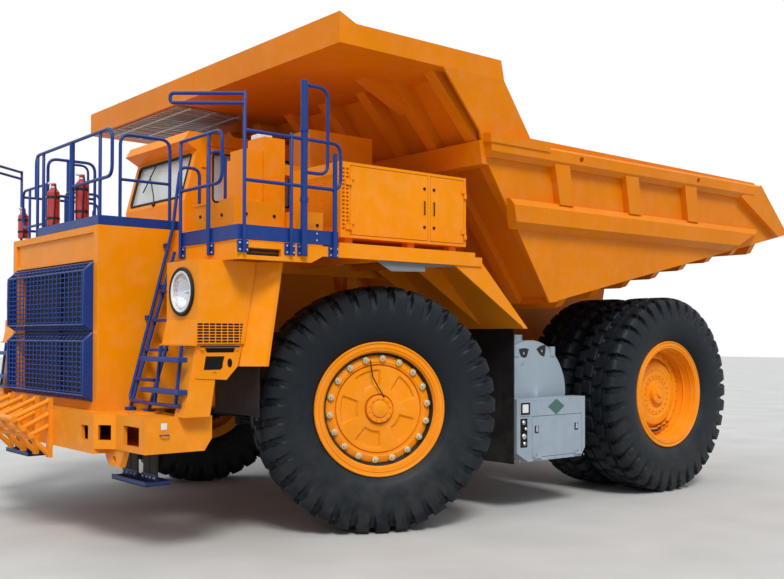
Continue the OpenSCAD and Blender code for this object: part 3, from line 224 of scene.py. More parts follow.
# %% Tubes along a path
def rounded(points, r, steps=5):
    """A path whose corners become curves: p and q are the places where a curve leaves the straight
    runs, and its points blend p, corner and q with weights (1-t)^2, 2t(1-t) and t^2."""
    pts = np.asarray(points, float)
    out = [pts[:1]]
    t = np.linspace(0, 1, steps + 1)[:, None]
    for a, b, c in zip(pts[:-2], pts[1:-1], pts[2:]):
        u, v = a - b, c - b
        lu, lv = np.linalg.norm(u), np.linalg.norm(v)
        half = math.acos(np.clip(u @ v / lu / lv, -1, 1)) / 2
        cut = min(r / max(math.tan(half), 0.05), 0.48 * lu, 0.48 * lv)
        p, q = b + u / lu * cut, b + v / lv * cut
        out.append((1 - t) ** 2 * p + 2 * t * (1 - t) * b + t ** 2 * q)
    return np.concatenate(out + [pts[-1:]])


def tube(points, d, r=0, n=12, closed=False):
    """A circle of diameter d carried along a path, kept square to it without twisting."""
    path = rounded(points, r) if r else np.asarray(points, float)
    ahead = np.roll(path, -1, 0) - np.roll(path, 1, 0)
    if not closed:
        ahead[0], ahead[-1] = path[1] - path[0], path[-1] - path[-2]
    ahead /= np.linalg.norm(ahead, axis=1)[:, None]
    first = basis(ahead[0])[0]
    sides = []
    for a in ahead:
        first = first - a * (first @ a)
        first = first / np.linalg.norm(first)
        sides.append(first)
    sides = np.array(sides)
    ups = np.cross(ahead, sides)
    t = np.arange(n) * 2 * np.pi / n
    around = np.cos(t)[None, :, None] * sides[:, None] + np.sin(t)[None, :, None] * ups[:, None]
    v = path[:, None] + d / 2 * around
    faces = grid(len(path), n, wrap_rows=closed).tolist()
    if not closed:
        faces += [list(range(n)), list(range((len(path) - 1) * n, len(path) * n))]
    return v.reshape(-1, 3), faces


# %% [markdown]
# No edge on a real machine is perfectly sharp, and a cut edge catches the light. So a block gets
# its twelve edges cut. Most of the truck has a twin on its other side, which a mirror image gives.

# %% Blocks with cut edges
def block(low, high, cut=4):
    """A box whose twelve edges are cut: each corner becomes three points, one on each face it meets."""
    low, high = np.asarray(low, float), np.asarray(high, float)
    cut = min(cut, 0.45 * (high - low).min())
    signs = np.array([[x, y, z] for x in (-1, 1) for y in (-1, 1) for z in (-1, 1)], float)
    half = (high - low) / 2
    pts = (signs[:, None] * (half - cut * (1 - np.eye(3)))[None]).reshape(-1, 3) + (low + high) / 2

    def num(x, y, z, k):
        return ((x > 0) * 4 + (y > 0) * 2 + (z > 0)) * 3 + k

    faces = [[num(*s, 0), num(*s, 1), num(*s, 2)] for s in signs]
    for k in range(3):
        i, j = (k + 1) % 3, (k + 2) % 3
        for s in (-1, 1):
            ring = []
            for a, b in ((-1, -1), (1, -1), (1, 1), (-1, 1)):
                c = [0, 0, 0]
                c[k], c[i], c[j] = s, a, b
                ring.append(num(*c, k))
            faces.append(ring)
            for t in (-1, 1):
                c, d = [0, 0, 0], [0, 0, 0]
                c[i], c[j], c[k] = s, t, -1
                d[i], d[j], d[k] = s, t, 1
                faces.append([num(*c, i), num(*d, i), num(*d, j), num(*c, j)])
    return pts, faces


def mirrored(shape):
    """The same shape on the other side of the truck: x changes sign and the faces turn round."""
    v, f = shape
    return np.asarray(v, float) * [-1, 1, 1], [list(one)[::-1] for one in f]


def pair(shapes):
    """Shapes and their mirror images."""
    return list(shapes) + [mirrored(s) for s in shapes]


def hex_bolt(size, height):
    """A six-sided head with a cut top edge and the bolt's round end standing in it."""
    r = size / math.sqrt(3)
    return turned([(r, 0), (r, height * 0.8), (r * 0.86, height), (r * 0.5, height),
                   (r * 0.5, height * 1.35)], n=6)


def aimed(shape, axis):
    """A shape drawn along z turned so that z lies along an axis."""
    e1, e2, a = basis(axis)
    return np.asarray(shape[0]) @ np.array([e1, e2, a]), shape[1]


print("a block has", len(block([0, 0, 0], [9, 9, 9])[1]), "faces")

# %% [markdown]
# A finish in Blender is a tree of small nodes wired together. Wiring each by hand takes many lines,
# so a few helpers make a group, a node with its inputs, a rescaled value, a sum and a blend.

# %% Helpers for nodes
def new_group(name, inputs, outputs):
    """A node group with named sockets, and its two end nodes."""
    tree = bpy.data.node_groups.new(name, "ShaderNodeTree")
    for label, kind, value in inputs:
        s = tree.interface.new_socket(label, in_out="INPUT", socket_type=kind)
        if value is not None:
            s.default_value = value
    for label, kind in outputs:
        tree.interface.new_socket(label, in_out="OUTPUT", socket_type=kind)
    return tree, tree.nodes.new("NodeGroupInput"), tree.nodes.new("NodeGroupOutput")


def node(tree, kind, settings=None, **sockets):
    """A node with its settings and inputs given: a socket is a value or another node's output."""
    n = tree.nodes.new("ShaderNode" + kind)
    for key, value in (settings or {}).items():
        setattr(n, key, value)
    for key, value in sockets.items():
        numbered = key[0] == "i" and key[1:].isdigit()
        target = n.inputs[int(key[1:]) if numbered else key.replace("_", " ")]
        if isinstance(value, bpy.types.NodeSocket):
            tree.links.new(value, target)
        else:
            target.default_value = value
    return n


def ramp(tree, value, low, high, to_low=0.0, to_high=1.0):
    """A value rescaled from low..high to to_low..to_high and held there."""
    return node(tree, "MapRange", Value=value, From_Min=low, From_Max=high, To_Min=to_low,
                To_Max=to_high).outputs[0]


def maths(tree, kind, a, b):
    """One sum of two values."""
    return node(tree, "Math", {"operation": kind}, i0=a, i1=b).outputs[0]


def blend_colour(tree, mask, a, b):
    """Colour a where the mask is 0 and b where it is 1."""
    m = node(tree, "Mix", {"data_type": "RGBA"}, i0=mask)
    for i, c in ((6, a), (7, b)):
        if isinstance(c, bpy.types.NodeSocket):
            tree.links.new(c, m.inputs[i])
        else:
            m.inputs[i].default_value = c
    return m.outputs[2]


F, C, V = "NodeSocketFloat", "NodeSocketColor", "NodeSocketVector"
print("node helpers for", F, C, V)

# %% [markdown]
# Paint on a working machine is never one colour. One shared effect gives every surface its slow
# colour drift, dust on what faces up, mud low down, thin rain streaks and a fine skin. It reads
# the piece's own coordinates, so it stays put when a joint moves.

# %% Shared effect: weather
DIRT = (0.20, 0.18, 0.155, 1)
weather, gi, go = new_group(
    "weather", [("Vector", V, None), ("Up", V, None), ("Color", C, (0.8, 0.8, 0.8, 1)), ("Dust", F, 0.5),
                ("Mud", F, 0.3), ("Rough", F, 0.4), ("Skin", F, 60.0), ("Relief", F, 0.05)],
    [("Color", C), ("Roughness", F), ("Normal", V)])
at = gi.outputs["Vector"]
drift = node(weather, "TexNoise", Vector=at, Scale=0.9, Detail=3.0).outputs[0]
patch = node(weather, "TexNoise", Vector=at, Scale=5.5, Detail=5.0, Roughness=0.62).outputs[0]
skin = node(weather, "TexNoise", Vector=at, Scale=gi.outputs["Skin"], Detail=2.0).outputs[0]
thin = node(weather, "Mapping", Vector=at, Scale=(14.0, 14.0, 0.7)).outputs[0]
streak = ramp(weather, node(weather, "TexNoise", Vector=thin, Scale=1.0, Detail=3.0).outputs[0], 0.56, 0.72)
height = node(weather, "SeparateXYZ", Vector=at).outputs[2]
facing = node(weather, "SeparateXYZ", Vector=gi.outputs["Up"]).outputs[2]
low_down = maths(weather, "MULTIPLY", ramp(weather, height, 1.9, 0.3), ramp(weather, patch, 0.38, 0.62))
upward = maths(weather, "MULTIPLY", ramp(weather, facing, 0.5, 0.98), ramp(weather, patch, 0.3, 0.66))
dusty = maths(weather, "MULTIPLY", maths(weather, "ADD", maths(weather, "MULTIPLY", upward, 0.55),
                                         maths(weather, "MULTIPLY", streak, 0.16)), gi.outputs["Dust"])
muddy = maths(weather, "MULTIPLY", low_down, gi.outputs["Mud"])
dirt = node(weather, "Math", {"operation": "ADD", "use_clamp": True}, i0=dusty, i1=muddy).outputs[0]
shade = node(weather, "HueSaturation", Value=ramp(weather, drift, 0.3, 0.7, 0.93, 1.06),
             Saturation=ramp(weather, patch, 0.3, 0.7, 0.97, 1.02), Color=gi.outputs["Color"]).outputs[0]
weather.links.new(blend_colour(weather, dirt, shade, DIRT), go.inputs["Color"])
rough = maths(weather, "ADD", gi.outputs["Rough"],
              maths(weather, "ADD", maths(weather, "MULTIPLY", dirt, 0.4),
                    ramp(weather, patch, 0.3, 0.7, -0.03, 0.05)))
weather.links.new(rough, go.inputs["Roughness"])
lift = maths(weather, "ADD", maths(weather, "MULTIPLY", skin, 0.5), maths(weather, "MULTIPLY", patch, 0.5))
bump = node(weather, "Bump", Height=lift, Strength=gi.outputs["Relief"], Distance=0.01)
weather.links.new(bump.outputs[0], go.inputs["Normal"])
print("shared effect", weather.name, len(weather.nodes), "nodes")


# %% [markdown]
# Cooling fins, pressed sheet and woven cloth all have an even beat. The second shared effect gives
# it: a distance along an axis, divided by a pitch, runs through a sine wave. Cloth takes it twice,
# once each way.

# %% Shared effect: ribs
FULL_TURN = 6.28318
ribs, ri, ro = new_group("ribs", [("Vector", V, None), ("Pitch", F, 0.03), ("Axis", V, (0, 0, 1))],
                         [("Value", F)])
along = node(ribs, "VectorMath", {"operation": "DOT_PRODUCT"}, i0=ri.outputs["Vector"],
             i1=ri.outputs["Axis"])
turns = maths(ribs, "DIVIDE", along.outputs["Value"], ri.outputs["Pitch"])
wave = node(ribs, "Math", {"operation": "SINE"}, i0=maths(ribs, "MULTIPLY", turns, FULL_TURN)).outputs[0]
ribs.links.new(ramp(ribs, wave, -1.0, 1.0), ro.inputs["Value"])
print("shared effect", ribs.name, len(ribs.nodes), "nodes")

# %% [markdown]
# Paint, rubber and metal differ in a few constants: colour, roughness, how much dust and mud they
# hold, and how fine their skin is. So one helper makes them all, and a second adds ribs to one.

# %% A finish, and ribs on it
def finish(name, colour, rough, dust=0.5, mud=0.3, skin=60.0, relief=0.05, metal=0.0, coat=0.0, **more):
    """A material: the weather effect feeds a Principled shader whose constants sit on its own sockets."""
    mat = bpy.data.materials.new(name)
    mat.use_nodes = True
    tree = mat.node_tree
    shader = tree.nodes["Principled BSDF"]
    where = node(tree, "TexCoord")
    worn = tree.nodes.new("ShaderNodeGroup")
    worn.node_tree = weather
    tree.links.new(where.outputs["Object"], worn.inputs["Vector"])
    tree.links.new(where.outputs["Normal"], worn.inputs["Up"])
    for key, value in (("Color", (*colour, 1)), ("Dust", dust), ("Mud", mud), ("Rough", rough),
                       ("Skin", skin), ("Relief", relief)):
        worn.inputs[key].default_value = value
    for a, b in (("Color", "Base Color"), ("Roughness", "Roughness"), ("Normal", "Normal")):
        tree.links.new(worn.outputs[a], shader.inputs[b])
    shader.inputs["Metallic"].default_value = metal
    shader.inputs["Coat Weight"].default_value = coat
    for key, value in more.items():
        shader.inputs[key.replace("_", " ")].default_value = value
    mat.diffuse_color = (*colour, 1)
    return mat


def ribbed(mat, axis, pitch, strength):
    """Adds even ribs along an axis to a finish, as a bump over the weather's own."""
    tree = mat.node_tree
    shader = tree.nodes["Principled BSDF"]
    lines = tree.nodes.new("ShaderNodeGroup")
    lines.node_tree = ribs
    lines.inputs["Axis"].default_value = axis
    lines.inputs["Pitch"].default_value = pitch
    tree.links.new(next(n for n in tree.nodes if n.type == "TEX_COORD").outputs["Object"],
                   lines.inputs["Vector"])
    skin_normal = shader.inputs["Normal"].links[0].from_socket
    raised = node(tree, "Bump", Height=lines.outputs[0], Strength=strength, Distance=0.02,
                  Normal=skin_normal)
    tree.links.new(raised.outputs[0], shader.inputs["Normal"])
    return mat


print("finishes take", [one.name for one in weather.interface.items_tree if one.in_out == "INPUT"])

# %% [markdown]
# The finishes: gloss enamel on the body, satin on the rails, plain grey on tank and box, dull
# rubber on tyres and seals, bare metal on rods and bolts. Each new piece's finish also names the
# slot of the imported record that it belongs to.

# %% The truck's finishes
ORANGE = (0.86, 0.272, 0.0015)
enamel = finish("orange_enamel", ORANGE, 0.36, dust=0.07, mud=0.22, skin=140.0, relief=0.035, coat=0.03,
                Coat_Roughness=0.10, Specular_IOR_Level=0.13)
# The bed wears the body's orange made deeper: painted shade for its sides, which lean away from the light.
enamel_bed_painted_shade = finish("bed_enamel_painted_shade", (0.75, 0.215, 0.001), 0.38, dust=0.05, mud=0.24, skin=140.0, relief=0.04,
                    coat=0.02, Coat_Roughness=0.10, Specular_IOR_Level=0.12)
enamel_wheel = finish("wheel_enamel", ORANGE, 0.36, dust=0.02, mud=0.10, skin=120.0, relief=0.05, coat=0.03,
                      Coat_Roughness=0.15, Specular_IOR_Level=0.16)
blue = finish("rail_blue", (0.008, 0.036, 0.20), 0.36, dust=0.1, mud=0.2, skin=160.0, relief=0.04, coat=0.0,
              Specular_IOR_Level=0.25)
brass = finish("yellow_zinc", (0.86, 0.68, 0.30), 0.32, dust=0.05, mud=0.1, skin=160.0, relief=0.05,
               metal=0.7)
black = finish("chassis_black_paint", (0.012, 0.012, 0.014), 0.5, dust=0.3, mud=0.35, skin=80.0, relief=0.1,
               Specular_IOR_Level=0.3)
grey = finish("light_grey_paint", (0.29, 0.36, 0.43), 0.45, dust=0.3, mud=0.25, skin=120.0, relief=0.06,
              Specular_IOR_Level=0.3)
grey_flap = finish("flap_grey", (0.17, 0.19, 0.21), 0.6, dust=0.5, mud=0.5, skin=90.0, relief=0.08)
red = finish("bottle_red", (0.42, 0.012, 0.012), 0.28, dust=0.3, mud=0.2, skin=140.0, relief=0.03, coat=0.5)
plate_green = finish("plate_green", (0.045, 0.115, 0.10), 0.5, dust=0.2, mud=0.1, skin=140.0, relief=0.03)
white = finish("signal_white", (0.75, 0.76, 0.76), 0.4, dust=0.3, mud=0.2, skin=140.0, relief=0.03)
rubber = finish("black_rubber", (0.008, 0.008, 0.009), 0.6, dust=0.15, mud=0.15, skin=150.0, relief=0.12,
                Specular_IOR_Level=0.3)
# Tyre rubber is black; the blue in its colour is a painted sheen of the sky.
tyre_rubber = finish("tyre_rubber", (0.006, 0.010, 0.015), 0.5, dust=0.0, mud=0.08, skin=34.0, relief=0.3,
                     Specular_IOR_Level=0.2)
steel = finish("zinc_steel", (0.55, 0.56, 0.58), 0.34, dust=0.15, mud=0.2, skin=160.0, relief=0.05,
               metal=1.0)
chrome = finish("polished_rod", (0.72, 0.73, 0.75), 0.12, dust=0.05, mud=0.1, skin=200.0, relief=0.01,
                metal=1.0)
# Bright ribbed sheet under the canopy: a painted reflection of the sky in the canopy's glossy underside.
painted_reflection_sheet = ribbed(finish("canopy_reflection_sheet", (0.62, 0.64, 0.66), 0.32, dust=0.3, mud=0.0, relief=0.3,
                     skin=24.0, metal=1.0), (1, 0, 0), 0.045, 0.8)
fins = ribbed(finish("radiator_fins", (0.012, 0.013, 0.016), 0.5, dust=0.15, mud=0.3), (1, 0, 0), 0.009, 0.9)
cloth = ribbed(ribbed(finish("seat_cloth", (0.03, 0.03, 0.034), 0.85, dust=0.3, mud=0.0, relief=0.2,
                             skin=220.0, Sheen_Weight=0.25), (1, 0, 0), 0.006, 0.5), (0, 1, 0), 0.006, 0.5)
# Near-black finish: real dark parts such as the dash and the seat base, and painted shade in slots, vents,
# holes and recesses.
dark_and_painted_shade = finish("dark_and_painted_shade", (0.006, 0.006, 0.007), 0.8, dust=0.03, mud=0.1, Specular_IOR_Level=0.15)
# Cab glass: real glass, and its pale, half-opaque colour is a painted reflection of the sky.
glass = finish("window_glass_painted_reflection", (0.80, 0.88, 0.90), 0.02, dust=0.05, mud=0.0, skin=8.0, relief=0.0,
               Transmission_Weight=0.45, IOR=1.45)
lens = finish("lamp_lens", (0.95, 0.97, 1.0), 0.03, dust=0.02, mud=0.0, skin=20.0, relief=0.02,
              Transmission_Weight=1.0, IOR=1.45)
SLOT_OF = {enamel: "body_paint", enamel_bed_painted_shade: "body_paint", enamel_wheel: "body_paint", blue: "blue_paint",
           black: "chassis_black", grey: "grey_paint", grey_flap: "grey_paint", white: "grey_paint",
           plate_green: "grey_paint", red: "red_paint", rubber: "rubber", dark_and_painted_shade: "rubber",
           tyre_rubber: "tyre", steel: "chrome_rod", brass: "chrome_rod", chrome: "chrome_rod",
           painted_reflection_sheet: "chrome_rod", cloth: "seat_fabric", glass: "lamp_glass", lens: "lamp_glass"}
print("finishes", len(bpy.data.materials))


# %% [markdown]
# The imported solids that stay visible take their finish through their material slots. Their meshes
# and places are left alone, so that what is seen is what the physics has.

# %% Finishes for the carried-over solids
def dress(material, *names):
    """Gives carried-over solids a finish through their material slots."""
    for n in names:
        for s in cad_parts[n].material_slots:
            s.material = material


dress(enamel, "frame", "bumper", "front_guard", "hood", "lamp_boxes", "deck", "fenders", "cab",
      "cab_door_near", "cab_door_far", "deck_boxes", "power_cabinet", "cabinet_door_front",
      "cabinet_door_rear", "side_tank")
# Bed and bed frame take the deeper orange, which is painted shade.
dress(enamel_bed_painted_shade, "bed", "bed_frame")
dress(enamel_wheel, "front_rim_near", "front_rim_far", "rear_rims_near", "rear_rims_far")
dress(blue, "handrails", "ladders", "grille_guards")
dress(black, "engine", "front_axle", "rear_axle", "knuckle_near", "knuckle_far", "tie_rod",
      "steer_barrel_near", "steer_barrel_far", "hoist_barrels")
dress(grey, "fuel_tank", "equipment_box", "equipment_door")
dress(rubber, "mud_flaps")
dress(red, "extinguishers")
dress(chrome, "steer_rod_near", "steer_rod_far", "hoist_outer", "hoist_inner", "hoist_rods")
dress(fins, "radiator")
dress(tyre_rubber, "front_tyre_near", "front_tyre_far", "rear_tyres_near", "rear_tyres_far")
dress(white, "headlamps")
dress(cloth, "cab_seat")
print("dressed", len(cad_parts), "nodes")


# %% [markdown]
# Tyres are moulded: a smooth casing with tread lugs standing on it. The outline runs from bead to
# bead, and at each point a groove depth that depends on angle and on place across is taken off
# square to the surface. Shoulder lugs run down the sidewall and fade out, as the mould makes them.

# %% Tyres
PITCHES, STEPS = 36, 16  # lugs round the tyre, and points in each
SHOULDER, CROWN, GROOVE, SLIT = 54.0, 34.0, 36.0, 20.0  # depths
OUTLINE = [(1325, 0), (1325, 180), (1323, 240), (1314, 288), (1294, 321), (1259, 339), (1212, 355),
           (1130, 362), (1050, 364), (965, 362), (900, 354), (850, 343), (838, 345), (826, 338), (790, 322),
           (752, 298), (729, 250), (728, 240), (648, 200)]
ACROSS = [0, 10, 22, 60, 100, 138, 146, 176, 186, 215, 240, 268, 296, 324, 352, 382, 412, 445, 480, 520,
          570, 630, 690, 712, 726, 740, 775, 820, 850, 862, 960]


def tyre(at, axis):
    """A point is at plus w times the axis plus r times the spoke at its angle. (r, w) is the outline
    moved inwards, square to itself, by a depth that depends on the angle and on a, the distance along
    the outline from the tyre's middle: the slit ends at 12, the crown's lugs lie from 20 to 144, the
    groove ends at 180, and the shoulder's lugs fade out from 390 to 560."""
    half = np.array(OUTLINE, float)
    run = np.concatenate([[0], np.cumsum(np.linalg.norm(np.diff(half, axis=0), axis=1))])
    s = np.array(ACROSS[:-1] + [run[-1]])
    s = np.concatenate([-s[:0:-1], s])
    r, w = np.interp(abs(s), run, half[:, 0]), np.interp(abs(s), run, half[:, 1]) * np.sign(s)
    dr, dw = np.gradient(r), np.gradient(w)
    size = np.hypot(dr, dw)
    nr, nw = dw / size, -dr / size
    theta = np.arange(PITCHES * STEPS) * 2 * np.pi / (PITCHES * STEPS)
    beat = PITCHES * theta[None] / (2 * np.pi) + 0.01
    a, left = abs(s)[:, None], (s < 0)[:, None]
    outer, inner = (beat + 0.5 * left + 0.0007 * a) % 1, (beat + 0.25 + 0.5 * left + 0.001 * a) % 1
    deep = SHOULDER * (outer > 0.66) * (a >= 184) * np.clip((560 - a) / 170, 0, 1)
    deep += CROWN * (inner > 0.70) * (a > 20) * (a < 144)
    deep += GROOVE * (a >= 144) * (a < 180) + SLIT * (a < 12)
    rr, ww = r[:, None] - nr[:, None] * deep, w[:, None] - nw[:, None] * deep
    e1, e2, ax = basis(axis)
    v = (np.asarray(at, float) + ww[..., None] * ax
         + rr[..., None] * (np.cos(theta)[None, :, None] * e1 + np.sin(theta)[None, :, None] * e2))
    return v.reshape(-1, 3), grid(len(s), len(theta), wrap_rows=True)


TURN = math.radians(-23.5)
WHEEL_HEIGHT, WHEELBASE, TWIN_PLACES = 1325.0, 4620.0, (1640.0, 2470.0)
NEAR, NEAR_AXIS = (2307.6, -199.0, WHEEL_HEIGHT), (math.cos(TURN), math.sin(TURN), 0.0)
FAR, FAR_AXIS = (-2307.6, 199.0, WHEEL_HEIGHT), (-math.cos(TURN), -math.sin(TURN), 0.0)
TWINS = {s: [(s * x, WHEELBASE, WHEEL_HEIGHT) for x in TWIN_PLACES] for s in (1, -1)}
for name, body, centres, axis in (("front_near", "front_wheel_near", [NEAR], NEAR_AXIS),
                                  ("front_far", "front_wheel_far", [FAR], FAR_AXIS),
                                  ("rear_near", "rear_wheels_near", TWINS[1], (1, 0, 0)),
                                  ("rear_far", "rear_wheels_far", TWINS[-1], (-1, 0, 0))):
    obj = piece("tread_" + name, [tyre(c, axis) for c in centres], tyre_rubber, body, crease=42)
    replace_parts(obj, name.replace("front", "front_tyre").replace("rear", "rear_tyres"))


# %% [markdown]
# A wheel repeats itself: bolts and clamps stand on circles, and bands run round. So a few helpers
# set a shape on a wheel, copy one round a circle, and make a band and the dished web.

# %% Patterns on a wheel
def on_wheel(shapes, at, axis):
    """Shapes drawn with z outwards from a wheel's middle, set on that wheel."""
    return [(np.asarray(aimed(s, axis)[0]) + np.asarray(at, float), s[1]) for s in shapes]


def circle_of(shape, radius, count, start=0.0, lift=0.0):
    """Copies of a shape on a circle, each turned to face outwards."""
    t = start + np.arange(count) * 2 * np.pi / count
    turn = np.zeros((count, 3, 3))
    turn[:, 0, 0] = turn[:, 1, 1] = np.cos(t)
    turn[:, 0, 1], turn[:, 1, 0], turn[:, 2, 2] = -np.sin(t), np.sin(t), 1
    return copies(shape, np.stack([radius * np.cos(t), radius * np.sin(t), np.full(count, lift)], -1), turn)


WEB, POCKET = 26, 24


def dish(inner, outer, low, high, pockets, rows=22, columns=200):
    """A web with pockets: it stands WEB above the disc, and POCKET of that falls away smoothly where
    wide (round the wheel) and deep (outwards) are both 1."""
    r = np.linspace(inner, outer, rows)[:, None]
    t = (np.arange(columns) * 2 * np.pi / columns)[None]
    base = np.interp(r, [150, 470], [190, 170])
    part = (t * pockets / (2 * np.pi)) % 1 - 0.5
    wide = np.clip((0.30 - abs(part)) * 20, 0, 1)
    deep = np.clip((r - low) / 14, 0, 1) * np.clip((high - r) / 14, 0, 1)
    top = base + WEB - POCKET * wide * deep
    z = np.concatenate([np.tile(base[:1] - 3, columns), top, np.tile(base[-1:] - 3, columns)])
    rr = np.concatenate([r[:1], r, r[-1:]])
    v = np.stack([rr * np.cos(t), rr * np.sin(t), z], -1)
    return v.reshape(-1, 3), grid(rows + 2, columns, wrap_rows=True)


def band(*profile, n=120):
    """A ring about z with a closed profile of (radius, along)."""
    return turned(profile, n=n, ring=True)


print("a circle of twelve bolts has", len(circle_of(hex_bolt(16, 9), 117, 12)[1]), "faces")

# %% [markdown]
# The front rim is a cast wheel clamped to its hub: eighteen wedge clamps pull the rim on, a
# dished centre carries the load, and its pockets save weight. All of it turns with the wheel.

# %% Front wheel details
CLAMP = block([-34, -30, 0], [40, 30, 22], 9)
RING = (545, 18, 0.1)  # the clamps' circle: its radius, their number, and where the first stands
rim_lips = [band((700, 278), (702, 286), (709, 291), (717, 290), (723, 284), (723, 276)),
            band((654, 278), (656, 287), (668, 288), (674, 278))]
front_orange = [dish(163, 466, 240, 424, 5),
                band((500, 190), (500, 202), (508, 206), (566, 194), (574, 188), (574, 178), (500, 182)),
                *rim_lips,
                band((616, 240), (616, 256), (624, 266), (634, 270), (640, 282), (644, 278), (638, 240)),
                turned([(146, 248), (142, 256), (128, 260), (104, 258), (96, 251), (88, 253), (86, 268),
                        (78, 273), (1, 274)], n=64)]
clamps = [circle_of(CLAMP, *RING, 190),
          circle_of(turned([(37, 0), (37, 16), (29, 25), (14, 25)], n=20), *RING, 212)]
front_steel = [circle_of(turned([(20, 0), (20, 18), (14, 26), (4, 28)], n=16), *RING, 232)]
front_orange.append(circle_of(hex_bolt(16, 9), 117, 12, 0.2, 259))
front_black = [band((580, 178), (580, 186), (606, 236), (612, 238), (612, 228), (588, 180)),
               tube([[-95, 518, 214], [-93, 455, 246], [-78, 345, 250], [-20, 240, 256], [46, 126, 266]],
                    14, 90, 8)]
for name, body, at, axis in (("near", "front_wheel_near", NEAR, NEAR_AXIS),
                             ("far", "front_wheel_far", FAR, FAR_AXIS)):
    piece("front_rim_dish_" + name, on_wheel(front_orange, at, axis), enamel_wheel, body)
    piece("front_rim_bolts_" + name, on_wheel(front_steel, at, axis), steel, body)
    piece("front_rim_clamps_" + name, on_wheel(clamps, at, axis), brass, body)
    piece("front_rim_hose_" + name, on_wheel(front_black, at, axis), rubber, body)


# %% [markdown]
# The rear wheels hide a drive in each hub, so the rim is a deep well with the hub's cover at its
# bottom. Rings in the well are the rim's mounting bands.

# %% Rear wheel details
rear_orange = [*rim_lips, band((628, 196), (612, 200), (612, 214), (629, 220), n=96),
               band((604, 92), (588, 96), (586, 110), (606, 118), n=96),
               band((578, -2), (482, -2), (482, 14), (500, 24), (560, 20), (578, 8), n=96),
               band((428, 36), (428, 52), (410, 58), (330, 62), (322, 56), (300, 55), (292, 62), (206, 66),
                    (196, 60), (196, 46), n=96),
               turned([(138, 106), (132, 118), (84, 124), (78, 120), (58, 121), (54, 140), (46, 146),
                       (1, 147)], n=64)]
rear_bolts = [circle_of(hex_bolt(22, 14), 252, 20, 0.0, 64), circle_of(hex_bolt(26, 16), 530, 24, 0.05, 21),
              circle_of(hex_bolt(14, 8), 108, 8, 0.1, 121)]
rear_black = [tube([[-85, -510, 16], [-70, -512, 62], [20, -508, 70], [110, -470, 66]], 34, 24, 10),
              tube([[100, -474, 66], [190, -440, 70], [292, -392, 66], [300, -384, 20]], 14, 30, 8)]
rear_bolts += [copies(hex_bolt(46, 54), [[110, -476, 16], [206, -440, 16], [292, -394, 16]])]
for name, body, side in (("near", "rear_wheels_near", 1), ("far", "rear_wheels_far", -1)):
    at, axis = TWINS[side][1], (side, 0, 0)
    piece("rear_rim_rings_" + name, on_wheel(rear_orange, at, axis), enamel_wheel, body)
    piece("rear_rim_bolts_" + name, on_wheel(rear_bolts, at, axis), enamel_wheel, body)
    piece("rear_rim_hoses_" + name, on_wheel(rear_black, at, axis), rubber, body)


# %% [markdown]
# Handrails are round steel tube bent cold over a former, so every corner is a smooth arc. Posts
# stand in bracket plates bolted to the deck's edge, and a toe board closes the bottom.

# %% Handrails
RAIL = 35
LINE, HOOD_LINE = 2930, -2870  # where the rails run: beside the deck, and across the hood
DECK, HOOD = 2882, 3233  # where their posts start
TOE = 3140  # the toe boards' top
EDGE, FOOT, PLATE = 2900, 2880, 2996  # the deck's side, and the bracket plates' ends
POSTS = (-2225, -1707, -1560, -1190)


def post(x, s, low, high, d=RAIL):
    """An upright tube with a domed top."""
    r = d / 2
    return turned([(r, low), (r, high - 6), (r * 0.85, high - 2), (r * 0.5, high)], at=(x, s, 0), n=16)


def rail(*path, r=110):
    """A handrail bent to an inner radius r at each corner of its path."""
    return tube(path, RAIL, r)


def bracket(s):
    """A bracket plate on the deck's side."""
    return block([EDGE, s - 60, FOOT], [EDGE + 12, s + 60, PLATE], 3)


rails = [post(1830, -2300, DECK, 4052), post(2400, -2300, DECK, 4052), post(LINE, -2225, DECK, 4372),
         post(LINE, -1707, DECK, 4052), post(LINE, -1190, DECK, 3912, 48),
         post(LINE, -1560, DECK, 4582, 70),
         rail([1830, -2300, 4050], [2650, -2300, 4050], [2650, -2300, 3552], [1830, -2300, 3552]),
         rail([LINE, -2225, 4010], [LINE, -1120, 4010], [LINE, -1120, 3552], [LINE, -2225, 3552]),
         rail([LINE, -1560, 4540], [LINE, -1280, 4540], [LINE, -1280, 3690], [LINE, -1560, 3690]),
         rail([LINE, -2225, 4350], [2490, -2757, 4350], [2490, -2757, 4260], [LINE, -2225, 4260], r=40),
         block([1800, -2284, 3000], [2906, -2272, TOE], 3),
         block([EDGE, -2282, 3000], [EDGE + 12, -1130, TOE], 3)]
rails += [bracket(s) for s in POSTS]
rails += [block([x - 60, -2284, FOOT], [x + 60, -2271, PLATE], 3) for x in (1830, 2400)]
rails += [turned([(41, h), (41, h + 46), (35, h + 50), (35, h - 4)], at=(LINE, -1560, 0), n=20, ring=True)
          for h in (3400, 4080)]
hood_rails = [post(-550, HOOD_LINE, HOOD, 4184), post(-370, HOOD_LINE, HOOD, 4184),
              post(460, HOOD_LINE, HOOD, 4184, 56), post(1190, HOOD_LINE, HOOD, 4184)]
hood_rails += [rail([-600, HOOD_LINE, 3700], [-600, HOOD_LINE, 4180], [1480, HOOD_LINE, 4180],
                    [1480, HOOD_LINE, 3700], [440, HOOD_LINE, 3700], [-600, HOOD_LINE, 3700])]
hood_rails += [rail([x, s, HOOD + 1], [x, s, high], [x, s + 560, high], [x, s + 560, HOOD + 1])
               for x, s, high in ((-450, -2790, 4140), (1182, -2650, 4190))]
hood_rails += [tube([[x, s, 3720], [x, s + 560, 3720]], 32) for x, s in ((-450, -2790), (1182, -2650))]
hood_rails += [block([-460, -2902, HOOD], [1229, -2892, 3330], 3),
               block([1218, -2900, HOOD], [1229, -2000, 3330], 3)]
obj = piece("rails_bent", pair(rails) + hood_rails, blue)
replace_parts(obj, "handrails")
